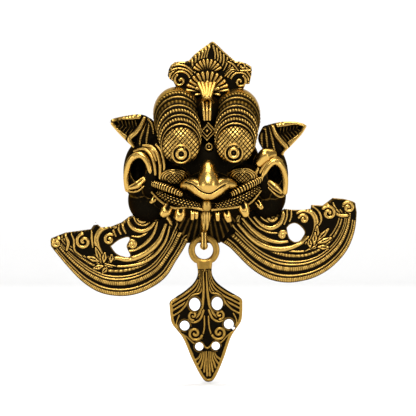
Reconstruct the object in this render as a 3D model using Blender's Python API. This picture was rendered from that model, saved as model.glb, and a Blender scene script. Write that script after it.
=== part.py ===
"""Kirtimukha wall mask in cast brass: a hollow-backed face with its crown and side wings, the hook under its
lip, and the pierced leaf that hangs from the hook.

Metres, +Z up. The wall is the plane Y = 0, the face looks along -Y, and the origin is the middle of the
hanging bar's back. The carving is laid out in units of a two-hundredth of the mask's own height: x to the
right, d forward from the wall, z up from the hanging bar.
"""

import math

import bmesh
import bpy
from mathutils import Matrix, Vector

# The mask's own height, from the crown's tip to the lower edge of the chin web.
MASK_HEIGHT = 0.1333
# Wall of the hollow casting.
WALL = 0.004
# Plates of the wings, the crown and the chin web, before their carving.
WING_PLATE = 0.0038
CROWN_PLATE = 0.0048
WEB_PLATE = 0.0040
# The flat bar across the hollow, which sits on a nail.
BAR_HEIGHT = 0.008
BAR_THICK = 0.003
# The hook's strap where it hangs and at its bend, its way clear of the chin web, and the running gap.
HOOK_WIDE = 0.0040
HOOK_DEEP = 0.0054
HOOK_CLEAR = 0.0010
GAP = 0.0003
# The pendant: its length from the top of its eye to its tip, its plate, and its eye.
PENDANT_LENGTH = 0.0980
PENDANT_PLATE = 0.0030
EYE_HOLE = 0.0120
EYE_OUTSIDE = 0.0208
# The pendant hangs a little out of plumb, in degrees.
PENDANT_LEAN = 2.1
# How far the forms start behind the wall before they are cut flat there.
BEHIND = 0.003

U = MASK_HEIGHT / 200
BRASS = (0.55, 0.37, 0.12, 1.0)
TO_FRONT = Matrix.Rotation(math.radians(90), 4, "X")


def new_collection(name):
    collection = bpy.data.collections.new(name)
    bpy.context.scene.collection.children.link(collection)
    return collection


def brass(name, roughness):
    material = bpy.data.materials.new(name)
    material.use_nodes = True
    shader = material.node_tree.nodes["Principled BSDF"]
    shader.inputs["Base Color"].default_value = BRASS
    shader.inputs["Metallic"].default_value = 1.0
    shader.inputs["Roughness"].default_value = roughness
    return material


def spot(x, d, z):
    """A point of the carving, from its layout units to metres."""
    return Vector((x * U, -d * U, z * U))


def shape_object(bm, place=None):
    """Turns a bmesh, moved to its place, into an object whose faces point out."""
    if place is not None:
        bmesh.ops.transform(bm, matrix=place, verts=bm.verts)
    bmesh.ops.recalc_face_normals(bm, faces=bm.faces)
    mesh = bpy.data.meshes.new("form")
    bm.to_mesh(mesh)
    bm.free()
    item = bpy.data.objects.new("form", mesh)
    workshop.objects.link(item)
    return item


def ball(centre, radii, across, rings, turn=0.0):
    """An ellipsoid in layout units, its poles towards and away from the wall, turned in degrees about Y."""
    bm = bmesh.new()
    bmesh.ops.create_uvsphere(bm, u_segments=across, v_segments=rings, radius=U)
    place = Matrix.Translation(spot(*centre)) @ Matrix.Rotation(math.radians(turn), 4, "Y")
    return shape_object(bm, place @ Matrix.Diagonal((*radii, 1.0)) @ TO_FRONT)


def box(low, high):
    """A box between two corners in metres."""
    bm = bmesh.new()
    bmesh.ops.create_cube(bm, size=1.0)
    low, high = Vector(low), Vector(high)
    return shape_object(bm, Matrix.Translation((low + high) / 2) @ Matrix.Diagonal((*(high - low), 1.0)))


def drum(centre, radii, depth, sides):
    """A round bar along Y in metres, with its radii across and up."""
    bm = bmesh.new()
    bmesh.ops.create_cone(bm, cap_ends=True, segments=sides, radius1=1.0, radius2=1.0, depth=depth)
    place = Matrix.Translation(centre) @ Matrix.Diagonal((radii[0], 1, radii[1], 1))
    return shape_object(bm, place @ TO_FRONT)


def hoop(centre, reach, thick, sides):
    """A ring round a point of the carving, its hole along Y, in layout units. Four sides make a diamond."""
    bpy.ops.mesh.primitive_torus_add(
        major_segments=sides, minor_segments=4, major_radius=reach * U, minor_radius=thick * U
    )
    item = bpy.context.object
    item.data.transform(Matrix.Translation(spot(*centre)) @ TO_FRONT)
    for collection in item.users_collection:
        collection.objects.unlink(item)
    workshop.objects.link(item)
    return item


def flow(points, count):
    """Points at even steps along the Catmull-Rom curve through the given ones."""
    ends = [Vector(p) for p in (points[0], *points, points[-1])]
    steps = len(points) - 1
    found = []
    for i in range(count):
        place = steps * i / (count - 1)
        k = min(int(place), steps - 1)
        t = place - k
        a, b, c, d = ends[k : k + 4]
        bend = (2 * a - 5 * b + 4 * c - d) * t * t + (3 * b - a - 3 * c + d) * t**3
        found.append(b + ((c - a) * t + bend) / 2)
    return found


def along(values, share):
    """The value at a share of the way through a list, straight between its entries."""
    place = (len(values) - 1) * share
    k = min(int(place), len(values) - 2)
    return values[k] + (values[k + 1] - values[k]) * (place - k)


def as_mesh(item):
    """A curve object made a closed mesh, its caps welded on, and the curve removed."""
    bpy.context.view_layer.update()
    graph = bpy.context.evaluated_depsgraph_get()
    mesh = bpy.data.meshes.new_from_object(item.evaluated_get(graph))
    bm = bmesh.new()
    bm.from_mesh(mesh)
    bmesh.ops.remove_doubles(bm, verts=bm.verts, dist=1e-6)
    made = shape_object(bm, item.matrix_world)
    bpy.data.meshes.remove(mesh)
    bpy.data.objects.remove(item)
    return made


def poly_curve(name, points, dimensions):
    curve = bpy.data.curves.new(name, "CURVE")
    curve.dimensions = dimensions
    spline = curve.splines.new("POLY")
    spline.points.add(len(points) - 1)
    for point, target in zip(points, spline.points, strict=True):
        target.co = (*point, 1.0)
    item = bpy.data.objects.new(name, curve)
    workshop.objects.link(item)
    return item


def rod(points, radii, sides):
    """A round bar through points in metres, its radius running through the given ones."""
    item = poly_curve("rod", points, "3D")
    curve = item.data
    curve.fill_mode = "FULL"
    curve.bevel_depth = 1.0
    curve.bevel_resolution = sides // 2 - 2
    curve.use_fill_caps = True
    last = len(points) - 1
    for i, target in enumerate(curve.splines[0].points):
        target.radius = along(radii, i / last)
    return as_mesh(item)


def ridge(points, radii, count, sides):
    """A bar along a smooth curve through points of the carving, all in layout units."""
    return rod([spot(*p) for p in flow(points, count)], [r * U for r in radii], sides)


def slab(outline, back, front):
    """A flat plate: an outline of (x, z) in metres, from one depth to another in front of the wall."""
    item = poly_curve("slab", [(x, z, 0.0) for x, z in outline], "2D")
    item.data.splines[0].use_cyclic_u = True
    item.data.fill_mode = "BOTH"
    item.data.extrude = (front - back) / 2
    item.matrix_world = Matrix.Translation((0, -(front + back) / 2, 0)) @ TO_FRONT
    return as_mesh(item)


def plate(outline, front, back=-BEHIND):
    """A flat plate outlined in layout units. It starts behind the wall, where the casting is cut off."""
    return slab([(x * U, z * U) for x, z in outline], back, front)


def loft(rings):
    """Bridges closed rings of points, one after another, and closes the two ends."""
    bm = bmesh.new()
    made = [[bm.verts.new(p) for p in ring] for ring in rings]
    count = len(rings[0])
    for first, second in zip(made, made[1:]):
        for i in range(count):
            j = (i + 1) % count
            bm.faces.new((first[i], first[j], second[j], second[i]))
    bm.faces.new(made[0])
    bm.faces.new(made[-1])
    return shape_object(bm)


def combine(base, others, operation):
    """Joins the other solids to the base, or cuts them out of it, all at once, and removes them."""
    operands = new_collection("operands")
    for other in others:
        workshop.objects.unlink(other)
        operands.objects.link(other)
    modifier = base.modifiers.new("combine", "BOOLEAN")
    modifier.operation = operation
    modifier.operand_type = "COLLECTION"
    modifier.collection = operands
    modifier.solver = "MANIFOLD"
    bpy.context.view_layer.update()
    graph = bpy.context.evaluated_depsgraph_get()
    mesh = bpy.data.meshes.new_from_object(base.evaluated_get(graph))
    base.modifiers.clear()
    base.data = mesh
    for other in others:
        bpy.data.objects.remove(other)
    bpy.data.collections.remove(operands)
    return base


# The two brows. Each is a ringed stalk that swells out of the forehead and ends in an eyelid: its centre,
# half-width and half-height at the wall and in front, in layout units.
BROWS = {
    "left": {"centre": ((-31, -1), (-26.5, -35)), "wide": (23.5, 17.8), "tall": (26.0, 18.0)},
    "right": {"centre": ((29.5, -2), (26.5, -34)), "wide": (22.3, 18.0), "tall": (25.5, 18.0)},
}
BROW_DEPTH = 53
LID_BULGE = 7
BROW_SIDES = 16
# The rope rings round a stalk: their places along it, half their width, and how far they stand up.
ROPE_PLACES = (0.17, 0.42, 0.62, 0.82)
ROPE_HALF = 0.045
ROPE_RISE = 1.3


def brow_ring(shape, t, rise, back):
    """The ring of a stalk at share t of its length, its depth on a quarter circle, so the top is domed."""
    x, z = (a + (b - a) * t for a, b in zip(*shape["centre"]))
    wide, tall = (a + (b - a) * t + rise for a, b in (shape["wide"], shape["tall"]))
    start = -BEHIND / U
    d = start + (BROW_DEPTH - start) * math.sqrt(1 - (1 - t) ** 2) - back
    turns = [2 * math.pi * i / BROW_SIDES for i in range(BROW_SIDES)]
    return [spot(x + wide * math.cos(a), d, z + tall * math.sin(a)) for a in turns]


def brow(side, inset=0.0):
    """A brow with its rope rings and bulging lid or, with an inset, the plain hollow inside it."""
    stations = [(0.0, 0.0)]
    if inset:
        stations += [(0.2, 0.0), (0.6, 0.0)]
    for place in () if inset else ROPE_PLACES:
        stations += [(place - ROPE_HALF, 0.0), (place, ROPE_RISE), (place + ROPE_HALF, 0.0)]
    stations.append((1.0, 0.0))
    rings = [brow_ring(BROWS[side], t, rise - inset, inset) for t, rise in stations]
    front = rings[-1]
    middle = sum(front, Vector()) / len(front)
    for degrees in (35, 70):
        shrink, bulge = math.cos(math.radians(degrees)), math.sin(math.radians(degrees))
        rings.append([middle + (p - middle) * shrink + spot(0, LID_BULGE * bulge, 0) for p in front])
    return loft(rings)


# The eyes, and the rings round the lid's opening and the iris, as (reach, thickness, how far forward).
EYES = ((-26.3, 52, -43), (25.3, 52, -41.5))
EYE_RADIUS = 9.6
EYE_RINGS = ((8.4, 1.5, 6.5), (4.2, 1.3, 9.2))


def eyes():
    forms = []
    for x, d, z in EYES:
        forms.append(ball((x, d, z), (EYE_RADIUS, EYE_RADIUS, EYE_RADIUS), 10, 6))
        forms += [hoop((x, d + forward, z), reach, thick, 8) for reach, thick, forward in EYE_RINGS]
    return forms


def snout():
    """The polished nose over the beak-like lip, which is one V from side to side."""
    nose = [(0, 44, -51), (0, 53, -56), (0.3, 60, -65), (0.5, 64, -74), (0.5, 60, -82)]
    side = [(-26, 46, -74.5), (-17, 54, -73.5), (-8, 61, -79), (0, 65, -83)]
    beak = side + [(-x, d, z) for x, d, z in side[-2::-1]]
    nose_bar = ridge(nose, [2.5, 5.5, 8.5, 10.5, 6.5], 7, 8)
    return [nose_bar, ridge(beak, [2, 6.2, 7.4, 7.6, 7.4, 6.2, 2], 11, 8)]


# The bulk of the face, as (centre, radii): the core behind the eyes, the forehead, the cheek pads and bones,
# the muzzle, the jaw's root and the jowls.
CORE = ((0, 4, -54), (52, 38, 47))
FOREHEAD = ((-0.6, 20, -2), (15, 27, 24))
CHEEKS = (((-33, 26, -66), (17, 20, 13)), ((34, 26, -65), (17, 20, 13)))
CHEEKBONES = (((-57, 13, -62), (15, 26, 26)), ((56, 13, -64), (15, 26, 25)))
MUZZLE = ((0.7, 34.5, -76), (25, 26, 17))
JAW = ((-0.8, 21, -88), (54, 25, 19))
JOWLS = (((-61, 0.5, -88), (23, 21, 24)), ((60, 0.5, -84), (23, 21, 24)))


def face():
    """The plain masses of the face joined up, with the deep hollows of the cheek scrolls sunk into them."""
    lesser = (FOREHEAD, *CHEEKS, *CHEEKBONES, MUZZLE, JAW, *JOWLS)
    masses = [ball(*form, 10, 6) for form in lesser] + [ball(*shape["body"], 12, 6) for shape in SCROLLS]
    mass = combine(ball(*CORE, 16, 8), masses, "UNION")
    return combine(mass, [ball(*shape["hollow"], 8, 6) for shape in SCROLLS], "DIFFERENCE")


# The grin: the hatched upper rolls of the lip, the beaded gum under them and the thin lip edge, each from its
# outer corner to the middle, with their radii.
LIP_ROLLS = (
    ([(-54, 34, -71), (-41, 44, -76), (-27, 53, -84)], [3.2, 4.2, 3.0]),
    ([(53, 34, -67), (40, 44, -74), (24, 53, -84)], [3.2, 4.2, 3.0]),
    ([(-52, 32, -80), (-37, 43, -87), (-20, 50, -92), (-5, 52, -94)], [2.6, 4.4, 4.2, 2.6]),
    ([(52, 32, -75), (38, 43, -84), (22, 50, -91), (6, 52, -94)], [2.6, 4.4, 4.2, 2.6]),
    ([(-56, 30, -80), (-44, 40, -91), (-32, 46, -96), (-17, 50, -95), (0, 52, -99)], [1.5, 1.5]),
    ([(55, 30, -75), (42, 40, -90), (30, 46, -95), (16, 50, -96), (0, 52, -99)], [1.5, 1.5]),
)
# Each tooth from its root to its tip, with its radii.
TEETH = (
    ([(-50, 30, -86), (-54, 34, -88), (-58, 35, -91)], [3.0, 2.4, 1.0]),
    ([(-38, 40, -92), (-42, 45, -100), (-46, 47, -105)], [4.6, 3.8, 1.4]),
    ([(-27, 43, -95), (-28, 48, -103), (-30.5, 49, -110)], [4.6, 4.2, 1.8]),
    ([(-13.5, 40, -92), (-14, 49, -103), (-14, 49, -109)], [3.2, 2.8, 1.6]),
    ([(10, 40, -92), (9.6, 49, -103), (9.6, 49, -109)], [2.6, 2.4, 1.6]),
    ([(16, 40, -92), (19, 48, -104), (21.5, 48, -111)], [3.8, 3.2, 1.6]),
    ([(34, 41, -91), (36.5, 46, -99), (37.7, 47, -106)], [5.6, 3.8, 1.2]),
    ([(47, 30, -88), (51, 34, -93), (54, 35, -98)], [3.4, 2.8, 1.6]),
)
LIP_NUB = ((-1, 50, -92), (6, 7, 7))


def mouth():
    rolls = [ridge(points, radii, 5, 6 if len(radii) > 2 else 4) for points, radii in LIP_ROLLS]
    return rolls + [ridge(points, radii, 4, 6) for points, radii in TEETH] + [ball(*LIP_NUB, 8, 4)]


# The cheek scrolls: a bulging side whose deep hollow is framed by two arched rolls, with a tusk across it.
SCROLLS = (
    {
        "body": ((-69, 2.5, -60), (20, 31, 31)),
        "hollow": ((-70, 38, -58), (8.6, 19, 13)),
        "arch": [
            (-82, 24, -72), (-80, 30, -58), (-75, 34, -47), (-68, 36, -42.5), (-61, 37, -47), (-57, 36, -68),
        ],
        "brow": [(-73, 26, -39.5), (-65, 33, -38), (-57, 37, -44), (-53.5, 38, -56), (-52.5, 37, -70)],
        "tusk": [(-59, 33, -65), (-70, 38, -73), (-79, 36, -76.5)],
    },
    {
        "body": ((64, 2.5, -63), (20, 31, 30)),
        "hollow": ((67.5, 38, -63), (9.0, 19, 12)),
        "arch": [
            (78.5, 24, -76), (78, 30, -64), (73.5, 34, -54), (67, 36, -50), (61, 37, -53.5), (54, 36, -68),
        ],
        "brow": [(73, 26, -49), (66.5, 33, -45.5), (60, 37, -48), (54, 38, -56), (49.5, 37, -66)],
        "tusk": [(58, 33, -68), (67.5, 38, -76), (73, 37, -80)],
    },
)


def cheek_scrolls():
    forms = []
    for shape in SCROLLS:
        forms.append(ridge(shape["arch"], [2.6, 3.2, 2.8, 2.2], 11, 6))
        forms.append(ridge(shape["brow"], [1.2, 1.8, 1.6], 8, 4))
        forms.append(ridge(shape["tusk"], [2.6, 3.0, 1.4], 4, 6))
    return forms


# The ears: pointed leaves, each with a dish scooped out along it and turned with it.
EARS = (
    {
        "leaf": [
            (-98, -10.5), (-93, -7), (-82, -4.2), (-70, -2.6), (-62, -4), (-53, -10),
            (-50, -24), (-58, -34), (-73, -39), (-82, -29), (-90, -20),
        ],
        "dish": ((-78, 24, -15), (14, 9, 8)),
        "turn": 20,
    },
    {
        "leaf": [
            (98, -14), (93, -11), (86, -10), (74, -10), (62, -12.5), (54, -16),
            (50, -28), (58, -38), (73, -43), (84, -33.5), (93, -23),
        ],
        "dish": ((79, 24, -21), (14, 9, 8)),
        "turn": -20,
    },
)
# How far the ears' backs and their rims stand in front of the wall, in layout units.
EAR_BACK = 7
EAR_FRONT = 19


def ears():
    forms = []
    for shape in EARS:
        leaf = plate(shape["leaf"], EAR_FRONT * U, EAR_BACK * U)
        forms.append(combine(leaf, [ball(*shape["dish"], 12, 6, shape["turn"])], "DIFFERENCE"))
    return forms


# A scroll winds in to this share of its radius, and its roll is this share of it thick.
VOLUTE_END = 0.42
VOLUTE_THICK = 0.23
VOLUTE_POINTS = 7
# A carved line's middle lies below its plate's face by this share of half its width.
SUNK = 0.2


def volute(centre, depth, radius, turns, start, hand):
    """A scroll that winds in from its outer end, in layout units, with its start in degrees."""
    half = VOLUTE_THICK * radius
    points = []
    for i in range(VOLUTE_POINTS):
        t = i / (VOLUTE_POINTS - 1)
        angle = math.radians(start + hand * 360 * turns * t)
        reach = radius * (1 + (VOLUTE_END - 1) * t)
        x, z = centre[0] + reach * math.cos(angle), centre[1] + reach * math.sin(angle)
        points.append(spot(x, depth - SUNK * half, z))
    return rod(points, [half * U, half * U], 4)


CROWN_LEAF = [
    (5.3, 70.2), (9.6, 66.6), (21, 56), (27.3, 50.6), (38, 48.6), (43.4, 44.6), (43.8, 38), (41.3, 27.5),
    (36, 26), (35, 6), (-31, 6), (-31.5, 25), (-38.4, 32), (-40.4, 37), (-38.6, 44.5), (-33.3, 49.6),
    (-19.4, 50.6), (-13.6, 57), (1.6, 69),
]
CROWN_ROOT = [(-24, 2), (24, 2), (24, 18), (13, 30), (-13, 30), (-24, 18)]
CROWN_ROOT_DEPTH = 12
# The four fans of the crown, lowest first: the hub's height, the petals' inner and outer ends, how many there
# are, half their spread in degrees, their half-width at the rim, and their depth. The petals dip to the hub.
FANS = (
    (12, 3, 17, 7, 70, 2.5, 15.5),
    (9, 18, 30, 7, 40, 2.4, 11.0),
    (25, 14, 26, 5, 42, 2.4, 8.5),
    (36, 13, 24, 5, 24, 1.9, 7.4),
)
FAN_X = -0.5
FAN_DIP = 2.5
CROWN_SCROLLS = (
    ((-28, 30), 8, 1.0, 90, 1),
    ((31.5, 30), 9, 1.0, 90, -1),
    ((-29, 44), 6, 0.8, 200, -1),
    ((33, 43), 6, 0.8, -20, 1),
)


def crown():
    """The palmette above the brows: a leaf-shaped plate with four fans of petals and two pairs of scrolls."""
    forms = [plate(CROWN_LEAF, CROWN_PLATE), plate(CROWN_ROOT, CROWN_ROOT_DEPTH * U)]
    for hub, near, far, count, spread, half, depth in FANS:
        for i in range(count):
            angle = math.radians(-spread + 2 * spread * i / (count - 1))
            across, up = math.sin(angle), math.cos(angle)
            ends = [(near, depth - FAN_DIP), (far, depth - 0.6 * half)]
            path = [spot(FAN_X + across * reach, d, hub + up * reach) for reach, d in ends]
            forms.append(rod(path, [0.5 * half * U, half * U], 4))
    forms += [volute(centre, CROWN_PLATE / U, *rest) for centre, *rest in CROWN_SCROLLS]
    return forms


# The handle's ribs across, the diamond jewel, and the small round one: its ring's middle and its stone's.
RIBS_ACROSS = (-5.3, -1.3, 2.7)
JEWEL = (-1, 44, -20)
JEWEL_REACH = 9
JEWEL_TOP = 3
JEWEL_TALL = 9
BEZEL = 1.6
SMALL_RING = (1, 40, -35.5)
SMALL_STONE = (1, 39, -35.5)


def forehead():
    """The ribbed handle of the crown's fan, its collar, the diamond jewel and the small round one."""
    forms = []
    for x in RIBS_ACROSS:
        forms.append(ridge([(x, 40, 10), (0.8 * x, 47.5, 0), (0.6 * x, 45.5, -10)], [1.9, 1.5], 5, 4))
    forms.append(ridge([(-7, 34, 5), (-1, 45, 10.5), (6, 34, 5)], [2.0, 2.4, 2.0], 6, 4))
    bm = bmesh.new()
    bmesh.ops.create_cone(
        bm, cap_ends=True, segments=4, radius1=JEWEL_REACH * U, radius2=JEWEL_TOP * U, depth=JEWEL_TALL * U
    )
    forms.append(shape_object(bm, Matrix.Translation(spot(*JEWEL)) @ TO_FRONT))
    x, d, z = JEWEL
    forms.append(hoop((x, d + 1, z), JEWEL_REACH, BEZEL, 4))
    return forms + [hoop(SMALL_RING, 4, 1.4, 8), ball(SMALL_STONE, (2.2, 3, 2.2), 6, 4)]


# The wings: the lower edge from root to tip, the upper edge back to the root, the pierced hole, the leaf's
# ridge, the scrolls as (centre, radius, turns, start, hand), and the sprig's root and heading.
WINGS = (
    {
        "edge": [
            (-20, -129), (-32, -150), (-51, -172), (-81, -184), (-111, -179), (-137, -158), (-157, -134),
        ],
        "top": [
            (-157.5, -127), (-152, -121.5), (-127, -118.5), (-117, -116.5), (-112.4, -110.4), (-107, -115.2),
            (-96.6, -114.4), (-86.4, -110.3), (-76, -102.7), (-70, -90), (-20, -92),
        ],
        "hole": [
            (-97, -134), (-89, -126.5), (-80.5, -125), (-78.3, -127.5), (-81.5, -134), (-78, -143.5),
            (-82, -145), (-91.5, -141.5),
        ],
        "leaf": [(-44, -114), (-52, -130), (-66, -144), (-82, -150), (-94, -150), (-104, -142)],
        "scrolls": (
            ((-151, -131), 5, 1.0, 90, 1),
            ((-124, -129), 9, 1.0, 20, 1),
            ((-72, -132), 5, 1.0, 120, 1),
            ((-66, -108), 7, 1.0, 200, 1),
        ),
        "sprig": (-104, -146, 150),
    },
    {
        "edge": [
            (11, -129), (29, -143), (49.5, -161), (78, -170.5), (106, -165.5), (133, -146), (147, -117),
            (148.5, -96),
        ],
        "top": [
            (146.5, -91), (136, -87), (124, -86), (120, -90), (114.5, -93.3), (104, -93), (101, -97),
            (84, -97.8), (70, -90), (11, -92),
        ],
        "hole": [
            (78.5, -116), (86, -111.2), (92.8, -114.6), (96.6, -121), (92, -128.6), (86.5, -130),
            (81, -125.5),
        ],
        "leaf": [(38, -110), (50, -122), (66, -131), (82, -136), (94, -136), (103, -129)],
        "scrolls": (
            ((140, -96), 5, 1.0, 90, -1),
            ((121, -102), 8, 1.0, 160, -1),
            ((72, -125), 5, 1.0, 60, -1),
            ((66, -106), 8, 1.0, -20, 1),
        ),
        "sprig": (103, -133, 40),
    },
)
# The raised bands along a wing, as shares of the way in from its lower edge to the leaf's ridge, with their
# half-widths.
WING_BANDS = ((0.07, 2.2), (0.38, 2.2), (0.70, 1.8), (1.0, 3.0))
BAND_POINTS = 10
SPRIG_TURNS = (-70, -30, 12, 50)
SPRIG_LENGTH = 15
SPRIG_HALF = 2.6


def wing(shape):
    """A crescent plate with bands that sweep out from the chin, a pierced hole, scrolls and a sprig."""
    rim = [(p.x, p.y) for p in flow([(x, z, 0) for x, z in shape["edge"]], 14)]
    hole = plate(shape["hole"], 3 * WING_PLATE, -2 * BEHIND)
    forms = [combine(plate(rim + shape["top"], WING_PLATE), [hole], "DIFFERENCE")]
    front = WING_PLATE / U
    outer = flow([(x, front, z) for x, z in shape["edge"]], BAND_POINTS)
    inner = flow([(x, front, z) for x, z in shape["leaf"]], BAND_POINTS)
    for share, half in WING_BANDS:
        line = [spot(*a.lerp(b, share)) - spot(0, SUNK * half, 0) for a, b in zip(outer, inner, strict=True)]
        forms.append(rod(line[:-1], [0.6 * half * U, half * U, half * U, 0.6 * half * U], 4))
    forms += [volute(centre, front, *rest) for centre, *rest in shape["scrolls"]]
    x, z, heading = shape["sprig"]
    depth = front - SUNK * SPRIG_HALF
    for turn in SPRIG_TURNS:
        angle = math.radians(heading + turn)
        reaches = (0, SPRIG_LENGTH / 2, SPRIG_LENGTH)
        steps = [spot(x + r * math.cos(angle), depth, z + r * math.sin(angle)) for r in reaches]
        forms.append(rod(steps, [0.3 * SPRIG_HALF * U, SPRIG_HALF * U, 0.3 * SPRIG_HALF * U], 4))
    return forms


CHIN_WEB = [(-43, -88), (-32, -112), (-21, -131), (12, -131), (26, -112), (37, -88)]
# The hollows behind the snout and the forehead, and half the hanging bar's length, whose ends are buried
# beside the brows.
SNOUT_HOLLOW = ((0, 34, -72), (9, 24, 12))
FOREHEAD_HOLLOW = ((-0.6, 8, -8), (11, 28, 22))
BAR_REACH = 51


def hollow():
    """The space behind the face, open to the wall: the main forms again, a wall's thickness inside them."""
    wall = WALL / U
    inside = [ball(centre, [r - wall for r in radii], 10, 6) for centre, radii in (CORE, *JOWLS)]
    inside += [ball(*SNOUT_HOLLOW, 8, 4), ball(*FOREHEAD_HOLLOW, 10, 6)]
    return inside + [brow(side, wall) for side in BROWS]


def wall_mask():
    """The face casting: joined, hollowed from behind, given its hanging bar and cut flat at the wall."""
    forms = [brow(side) for side in BROWS] + eyes() + snout() + mouth() + forehead()
    forms += cheek_scrolls() + ears() + crown() + [form for shape in WINGS for form in wing(shape)]
    forms.append(plate(CHIN_WEB, WEB_PLATE))
    mask = combine(face(), forms, "UNION")
    combine(mask, hollow() + [hook(GAP)], "DIFFERENCE")
    reach = BAR_REACH * U
    combine(mask, [box((-reach, -BAR_THICK, -BAR_HEIGHT / 2), (reach, BEHIND, BAR_HEIGHT / 2))], "UNION")
    behind = box((-2 * MASK_HEIGHT, 0, -2 * MASK_HEIGHT), (2 * MASK_HEIGHT, 9 * BEHIND, MASK_HEIGHT))
    return combine(mask, [behind], "DIFFERENCE")


# The middle of the pendant's eye, across and up, and the hook's root under the lip: its line and radii.
EYE_AT = (-4, -137.8)
HOOK_ROOT = ([(-2, 44, -95), (-2, 43, -102), (-2.4, 39, -109), (-3, 33, -116)], [4.0, 6.3, 6.4, 4.6])
HOOK_TIP = 0.0035
# How square the hook's bend is: 1 is a half circle, and less fills its corners.
HOOK_SQUARE = 0.7
BEND_STEPS = 8


def pendant_middle():
    """The middle of the pendant's eye: the hook's back strand clears the chin web, the plate the strand."""
    depth = WEB_PLATE + HOOK_CLEAR + HOOK_WIDE + GAP + PENDANT_PLATE / 2
    return Vector((EYE_AT[0] * U, -depth, EYE_AT[1] * U))


def hook(grown=0.0):
    """The hook: a flared tulip drawn down to a strap, which is bent back through the pendant's eye."""
    eye = pendant_middle()
    reach = PENDANT_PLATE / 2 + GAP + HOOK_WIDE / 2
    seat = eye.z + EYE_HOLE / 2 - GAP
    drop = HOOK_DEEP / 2 + GAP
    path = [spot(*p) for p in HOOK_ROOT[0]] + [Vector((eye.x, eye.y - reach, seat + 2 * HOOK_TIP))]
    radii = [r * U for r in HOOK_ROOT[1]] + [HOOK_WIDE / 2]
    for i in range(BEND_STEPS + 1):
        angle = math.pi * i / BEND_STEPS
        across = math.copysign(abs(math.cos(angle)) ** HOOK_SQUARE, math.cos(angle))
        down = max(0.0, math.sin(angle)) ** HOOK_SQUARE
        path.append(Vector((eye.x, eye.y - reach * across, seat - drop * down)))
        radii.append(HOOK_WIDE / 2 + (HOOK_DEEP - HOOK_WIDE) / 2 * math.sin(angle) ** 2)
    path.append(Vector((eye.x, eye.y + reach, seat + HOOK_TIP)))
    radii.append(0.4 * HOOK_WIDE)
    return rod(path, [r + grown for r in radii], 8)


# The pendant's right edge from its neck to its tip, from the middle of its eye, in units of a
# hundred-and-forty-seventh of its length.
PENDANT_EDGE = [
    (7.8, -13), (7.8, -25), (12, -32), (21, -40), (29, -45.5), (34.6, -51), (35.8, -61), (34.6, -72),
    (30, -84), (23, -94), (16.5, -107), (11, -119), (6.5, -128.5),
]
PENDANT_TIP = (0, -131.4)
# Its holes, mirrored left and right: centre, then radii across and up.
PENDANT_HOLES = (((11.2, -53.7), (5.5, 6.5)), ((22, -74.5), (4.8, 4.8)), ((8.2, -95.8), (4.1, 4.1)))
# Its ribs from the neck out to the shoulders and down the middle, and its scrolls, all mirrored.
PENDANT_RIBS = (
    [(1.6, -20), (2.2, -34), (3.6, -46), (3.4, -62)],
    [(4.4, -20), (5.6, -34), (14, -43), (20, -52), (20, -62)],
    [(6.6, -22), (9.5, -34), (20, -42.5), (29.5, -52), (31, -62), (29, -74)],
    [(3, -104), (2.6, -116), (2, -127)],
    [(7, -104), (6.4, -116), (5, -126)],
)
PENDANT_SCROLLS = (
    ((14, -66), 6.5, 1.0, 120, -1),
    ((12.5, -84), 7, 1.0, 60, -1),
    ((24.5, -84.5), 4.5, 1.0, 40, -1),
)
RIB = 1.3
RIM = 1.6
RIM_INSET = 2.4


def leaf_pendant():
    """The pierced leaf: a flat plate with a raised rim, ribs, scrolls and a fan, under a plain round eye."""
    share = PENDANT_LENGTH / 147
    front = PENDANT_PLATE / 2
    half = [(p.x, p.y) for p in flow([(x, z, 0) for x, z in PENDANT_EDGE], 16)]
    outline = half + [PENDANT_TIP] + [(-x, z) for x, z in half[::-1]]
    forms = [drum((0, 0, 0), (EYE_OUTSIDE / 2, EYE_OUTSIDE / 2), PENDANT_PLATE, 18)]
    forms.append(slab([(x * share, z * share) for x, z in outline], -front, front))
    rim = [(x - RIM_INSET, z) for x, z in half[3:-1]]
    holes = [drum((0, 0, 0), (EYE_HOLE / 2, EYE_HOLE / 2), 5 * PENDANT_PLATE, 16)]
    for side in (-1, 1):
        for line in (rim, *PENDANT_RIBS):
            radius = (RIM if line is rim else RIB) * share
            points = [Vector((side * x * share, SUNK * radius - front, z * share)) for x, z in line]
            smooth = flow(points, max(5, len(points)))
            forms.append(rod(smooth, [0.6 * radius, radius, radius, 0.6 * radius], 4))
        for (x, z), radius, turns, start, hand in PENDANT_SCROLLS:
            scroll = volute((0, 0), 0, radius, turns, start if side > 0 else 180 - start, side * hand)
            grow = Matrix.Diagonal((share / U, share / U, share / U, 1))
            scroll.data.transform(Matrix.Translation((side * x * share, -front, z * share)) @ grow)
            forms.append(scroll)
        for (x, z), (across, up) in PENDANT_HOLES:
            centre = (side * x * share, 0, z * share)
            holes.append(drum(centre, (across * share, up * share), 5 * PENDANT_PLATE, 10))
    pendant = combine(combine(forms[0], forms[1:], "UNION"), holes, "DIFFERENCE")
    lean = Matrix.Rotation(math.radians(-PENDANT_LEAN), 4, "Y")
    pendant.data.transform(Matrix.Translation(pendant_middle()) @ lean)
    return pendant


def finish(item, name, material):
    """Names a piece, gives it its brass, shades it smooth and puts it with the object."""
    item.name = item.data.name = name
    item.data.materials.clear()
    item.data.materials.append(material)
    item.data.shade_smooth()
    item.data.set_sharp_from_angle(angle=math.radians(40))
    workshop.objects.unlink(item)
    kirtimukha.objects.link(item)


for old in list(bpy.data.objects):
    bpy.data.objects.remove(old)
workshop = new_collection("workshop")
kirtimukha = new_collection("kirtimukha_mask")
finish(wall_mask(), "mask", brass("cast_brass", 0.38))
finish(hook(), "chin_hook", brass("hook_brass", 0.34))
finish(leaf_pendant(), "leaf_pendant", brass("pendant_brass", 0.42))
bpy.data.collections.remove(workshop)
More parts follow.
